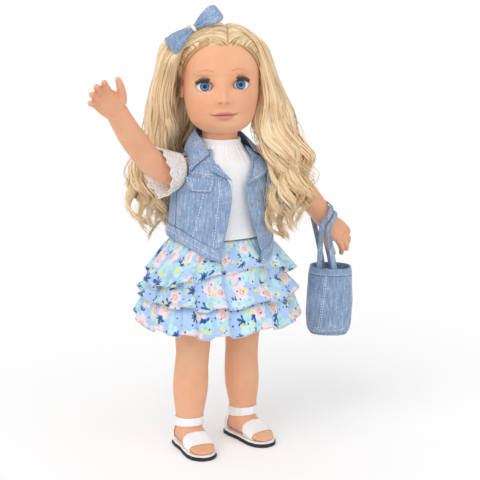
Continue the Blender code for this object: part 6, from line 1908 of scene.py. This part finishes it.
# %% Tier
def make_tier(name, rows, seed):
    """rows: height, half width, half depth, fold, lift, shift from the seam to the hem."""
    rows = np.array(rows)
    shares = np.linspace(0.0, 1.0, TIER_ROWS)
    given = (rows[0, 0] - rows[:, 0]) / (rows[0, 0] - rows[-1, 0])
    table = [np.interp(shares, given, rows[:, k])[:, None] for k in range(6)]
    height, wide, deep, fold, lift, shift = table
    angle = (np.arange(TIER_COLUMNS) * math.tau / TIER_COLUMNS)[None, :]
    s = shares[:, None]
    push = fold * fold_at(angle)
    push = push + 0.55 * MM * np.cos(65.0 * angle) * (1.0 - s) ** 2
    wander = [noise.noise(Vector((math.cos(a) * 3.1, math.sin(a) * 3.1, seed))) for a in angle[0]]
    push = push + 0.5 * MM * np.array(wander)[None, :] * s
    c, n = np.cos(angle), np.sin(angle)
    bent_c = np.sign(c) * np.abs(c) ** (2.0 / 2.3)
    bent_n = np.sign(n) * np.abs(n) ** (2.0 / 2.3)
    z = height + lift * n * n + push * (0.25 + 0.60 * s)
    sides = []
    for extra in (0.0, -CLOTH_THICKNESS):
        x = bent_c * (wide + push + extra) + shift
        sides.append(np.stack([x, bent_n * (deep + push + extra), z], axis=2))
    verts = np.concatenate([side.reshape(-1, 3) for side in sides])
    half = TIER_ROWS * TIER_COLUMNS
    faces = []
    for r in range(TIER_ROWS - 1):
        for k in range(TIER_COLUMNS):
            a, b = r * TIER_COLUMNS + k, r * TIER_COLUMNS + (k + 1) % TIER_COLUMNS
            c0, d0 = a + TIER_COLUMNS, b + TIER_COLUMNS
            faces.append((a, c0, d0, b))
            faces.append((half + a, half + b, half + d0, half + c0))
    last = (TIER_ROWS - 1) * TIER_COLUMNS
    for k in range(TIER_COLUMNS):
        b = (k + 1) % TIER_COLUMNS
        faces.append((k, b, half + b, half + k))
        faces.append((last + k, half + last + k, half + last + b, last + b))
    mesh = bpy.data.meshes.new(name)
    mesh.from_pydata(verts.tolist(), [], faces)
    outer = sides[0]
    hem = np.linalg.norm(outer[-1] - np.roll(outer[-1], 1, axis=0), axis=1)
    around = np.cumsum(hem) - hem[0]
    steps = np.linalg.norm(np.diff(outer, axis=0), axis=2).mean(axis=1)
    down = np.concatenate([[0.0], np.cumsum(steps)])
    layer = mesh.uv_layers.new(name="cloth")
    for polygon in mesh.polygons:
        columns = [mesh.loops[i].vertex_index % TIER_COLUMNS for i in polygon.loop_indices]
        wraps = max(columns) - min(columns) > TIER_COLUMNS // 2
        for i in polygon.loop_indices:
            index = mesh.loops[i].vertex_index % half
            row, column = divmod(index, TIER_COLUMNS)
            u = around[column] + (hem.sum() if wraps and column < TIER_COLUMNS // 2 else 0.0)
            layer.data[i].uv = (u + seed * 0.37, -down[row] + seed * 0.11)
    gone = np.repeat((down[-1] - down) / MM, TIER_COLUMNS)
    give_values(mesh, {"from_hem": np.concatenate([gone, gone])})
    return closed_piece(name, mesh), hem.sum(), down[-1]


def rows_between(shares, top, hem, half, hem_half, lift=0.0, shift=0.0):
    rows = []
    for drop, widen, deepen, fold in shares:
        wide = half[0] + (hem_half[0] - half[0]) * widen
        deep = half[1] + (hem_half[1] - half[1]) * deepen
        height = top + (hem - top) * drop
        rows.append((height, wide, deep, FOLD_DEPTH * fold, lift * drop, shift * drop))
    return rows


def sewn_inside(row):
    return (row[0], row[1] - 1.2 * MM, row[2] - 1.2 * MM) + tuple(row[3:])


# %% [markdown]
# The top tier starts at the waistband's seam, and each lower one inside the tier above it.

# %% Hang the tiers
seam = points_of(NODES["skirt_top_tier"])
seam = seam[seam[:, 2] > seam[:, 2].max() - 0.6 * MM]
seam_half = (np.ptp(seam[:, 0]) / 2.0 - 0.3 * MM, np.ptp(seam[:, 1]) / 2.0 - 0.3 * MM)
# drop, widening, deepening and fold, each as a share from the seam to the hem
TOP_SHARES = (
    (0.0, 0.0, 0.0, 0.10),
    (0.35, 0.40, 0.40, 0.45),
    (0.70, 0.72, 0.68, 0.70),
    (1.0, 1.0, 1.0, 0.85),
)
MID_SHARES = ((0.40, 0.36, 0.41, 0.55), (1.0, 1.0, 1.0, 1.0))
LOW_SHARES = ((0.45, 0.56, 0.63, 0.70), (1.0, 1.0, 1.0, 1.0))
top_rows = rows_between(TOP_SHARES, 0.2321, 0.185, seam_half, (0.087, 0.048), 0.017, 0.003)
mid_rows = rows_between(MID_SHARES, 0.200, 0.169, (0.0658, 0.0342), (0.086, 0.067))
mid_rows = [sewn_inside(top_rows[2])] + mid_rows
low_rows = rows_between(LOW_SHARES, 0.178, 0.141, (0.074, 0.051), (0.088, 0.073))
low_rows = [sewn_inside(mid_rows[1])] + low_rows
for word, rows, seed in (("top", top_rows, 1), ("middle", mid_rows, 2), ("bottom", low_rows, 3)):
    tier, around, down = make_tier("skirt_%s_tier_cloth" % word, rows, seed)
    dressed(tier, PRINT, "torso", "printed_cotton", "skirt_%s_tier" % word)
    square_cm = round(cloth_area(tier) * 1e4, 1)
    print(word, "tier is cut to %.0f x %.0f mm, area" % (around / MM, down / MM), square_cm, "cm2")
# %% [markdown]
# The waistband is a narrow strip of the same cloth.

# %% Waistband
band = copy_of("skirt_waistband", "skirt_waistband_cloth")
creased(band, 60.0, 0.8)
subdivided(band, 2)
layer = band.data.uv_layers.get("cloth") or band.data.uv_layers.new(name="cloth")
for loop in band.data.loops:
    co = band.data.vertices[loop.vertex_index].co
    layer.data[loop.index].uv = (math.atan2(co.y, co.x) * 0.045, co.z)
give_values(band.data, {"from_hem": np.full(len(band.data.vertices), 9.0)})
dressed(band, PRINT, "torso", "printed_cotton", "skirt_waistband")
declare(band, 0.010)

# %% [markdown]
# ## Bag, bow and sandals
#
# The bag is a soft chambray tote with a turned hem and two flat handles over the wrist. The bow
# is two stuffed loops pulled together by a white tape, with pleats that spread from the knot. The
# sandals are moulded: a black sole, a white footbed and two white straps.

# %% Bag
BAG_MIDDLE = (0.1380, -0.0152)
BAG_FOLDS = ((0.014, 0.8, 0.75 * MM, 31), (0.0055, 0.8, 0.22 * MM, 37))
bag = []
for node, length, folds in (
    ("bag_body", 0.066, BAG_FOLDS),
    ("bag_bottom", 0.020, ()),
    ("bag_hem", 0.0075, BAG_FOLDS[:1]),
    ("bag_near_handle", 0.110, ()),
    ("bag_far_handle", 0.110, ()),
):
    piece = softened(node, node + "_cloth", 2, folds, middle=BAG_MIDDLE)
    if "handle" in node:
        shade_and_fill(piece, DENIM)
        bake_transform(piece)
        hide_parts(node)
    else:
        dressed(piece, DENIM, "bag", "denim", node)
    declare(piece, length)
    bag.append(piece)


def from_view(across, height):
    """A ray away from the viewer, at millimetres across from the bag's middle and a height."""
    start = Vector(BAG_MIDDLE + (height * MM,)) + VIEW_RIGHT * (across * MM) - AWAY * 0.1
    return start, AWAY.copy()


def from_behind(across, height):
    start, toward = from_view(across, height)
    return start + AWAY * 0.2, -toward


BAG_SEAMS = [
    [(-26.0, 177.6), (26.0, 177.6)],
    [(-6.6, 175.0), (-9.0, 150.0), (-12.0, 116.0)],
    [(-4.6, 175.0), (-7.0, 150.0), (-10.0, 116.0)],
    [(-22.0, 118.0), (-12.0, 114.5), (0.0, 113.5), (12.0, 114.5), (22.0, 118.0)],
]
bag_tree = tree_of(*bag[:3])
stitches("bag_front_stitches", bag_tree, BAG_SEAMS, from_view, "bag")
stitches("bag_rear_stitches", bag_tree, BAG_SEAMS[:1] + BAG_SEAMS[3:], from_behind, "bag")

# %% Bow
for word in ("upper", "lower"):
    loop = copy_of("bow_%s_loop" % word, "bow_%s_cloth" % word)
    creased(loop, 70.0, 0.5)
    subdivided(loop, 3)
    spots = points_of(loop)
    offset = spots - np.array(BOW_AT)
    share = np.abs(offset @ np.array(BOW_ALONG)) / 0.030
    width = 0.0118 * np.interp(share, (0.01, 0.22, 0.48, 0.76, 1.0), (0.24, 0.48, 0.80, 1.02, 0.66))
    place = (offset @ np.array(BOW_ACROSS)) / width
    depth = np.clip(share * 5.0, 0.0, 1.0) * (1.15 - share) * 1.9 * MM
    fade = np.clip(1.15 - np.abs(place), 0.0, 1.0) ** 0.5
    push = depth * np.cos(place * 2.3 * math.pi + 0.6) * fade
    push += ripple(spots, 0.008, 41) * 0.35 * MM
    move_points(loop, spots + np.outer(push, np.array(BOW_OUTWARD)))
    dressed(loop, DENIM, "head", "denim", "bow_%s_loop" % word)
knot = copy_of("bow_band", "bow_band_tape")
creased(knot, 60.0, 0.7)
subdivided(knot, 3)
dressed(knot, TAPE, "head", "white_tape", "bow_band")
declare(knot, 0.026)

# %% Sandals
for word in ("right", "left"):
    for part, voxel, passes, finish, slot in (
        ("outsole", 0.55 * MM, 4, SOLE, "black_sole"),
        ("footbed", 0.55 * MM, 5, FOOTBED, "white_footbed"),
        ("ankle_strap", 0.45 * MM, 8, STRAP, "white_strap"),
        ("toe_strap", 0.45 * MM, 8, STRAP, "white_strap"),
    ):
        node = "%s_%s" % (word, part)
        piece = moulded(node, node + "_moulded", voxel, passes)
        dressed(piece, finish, word + "_leg", slot, node)
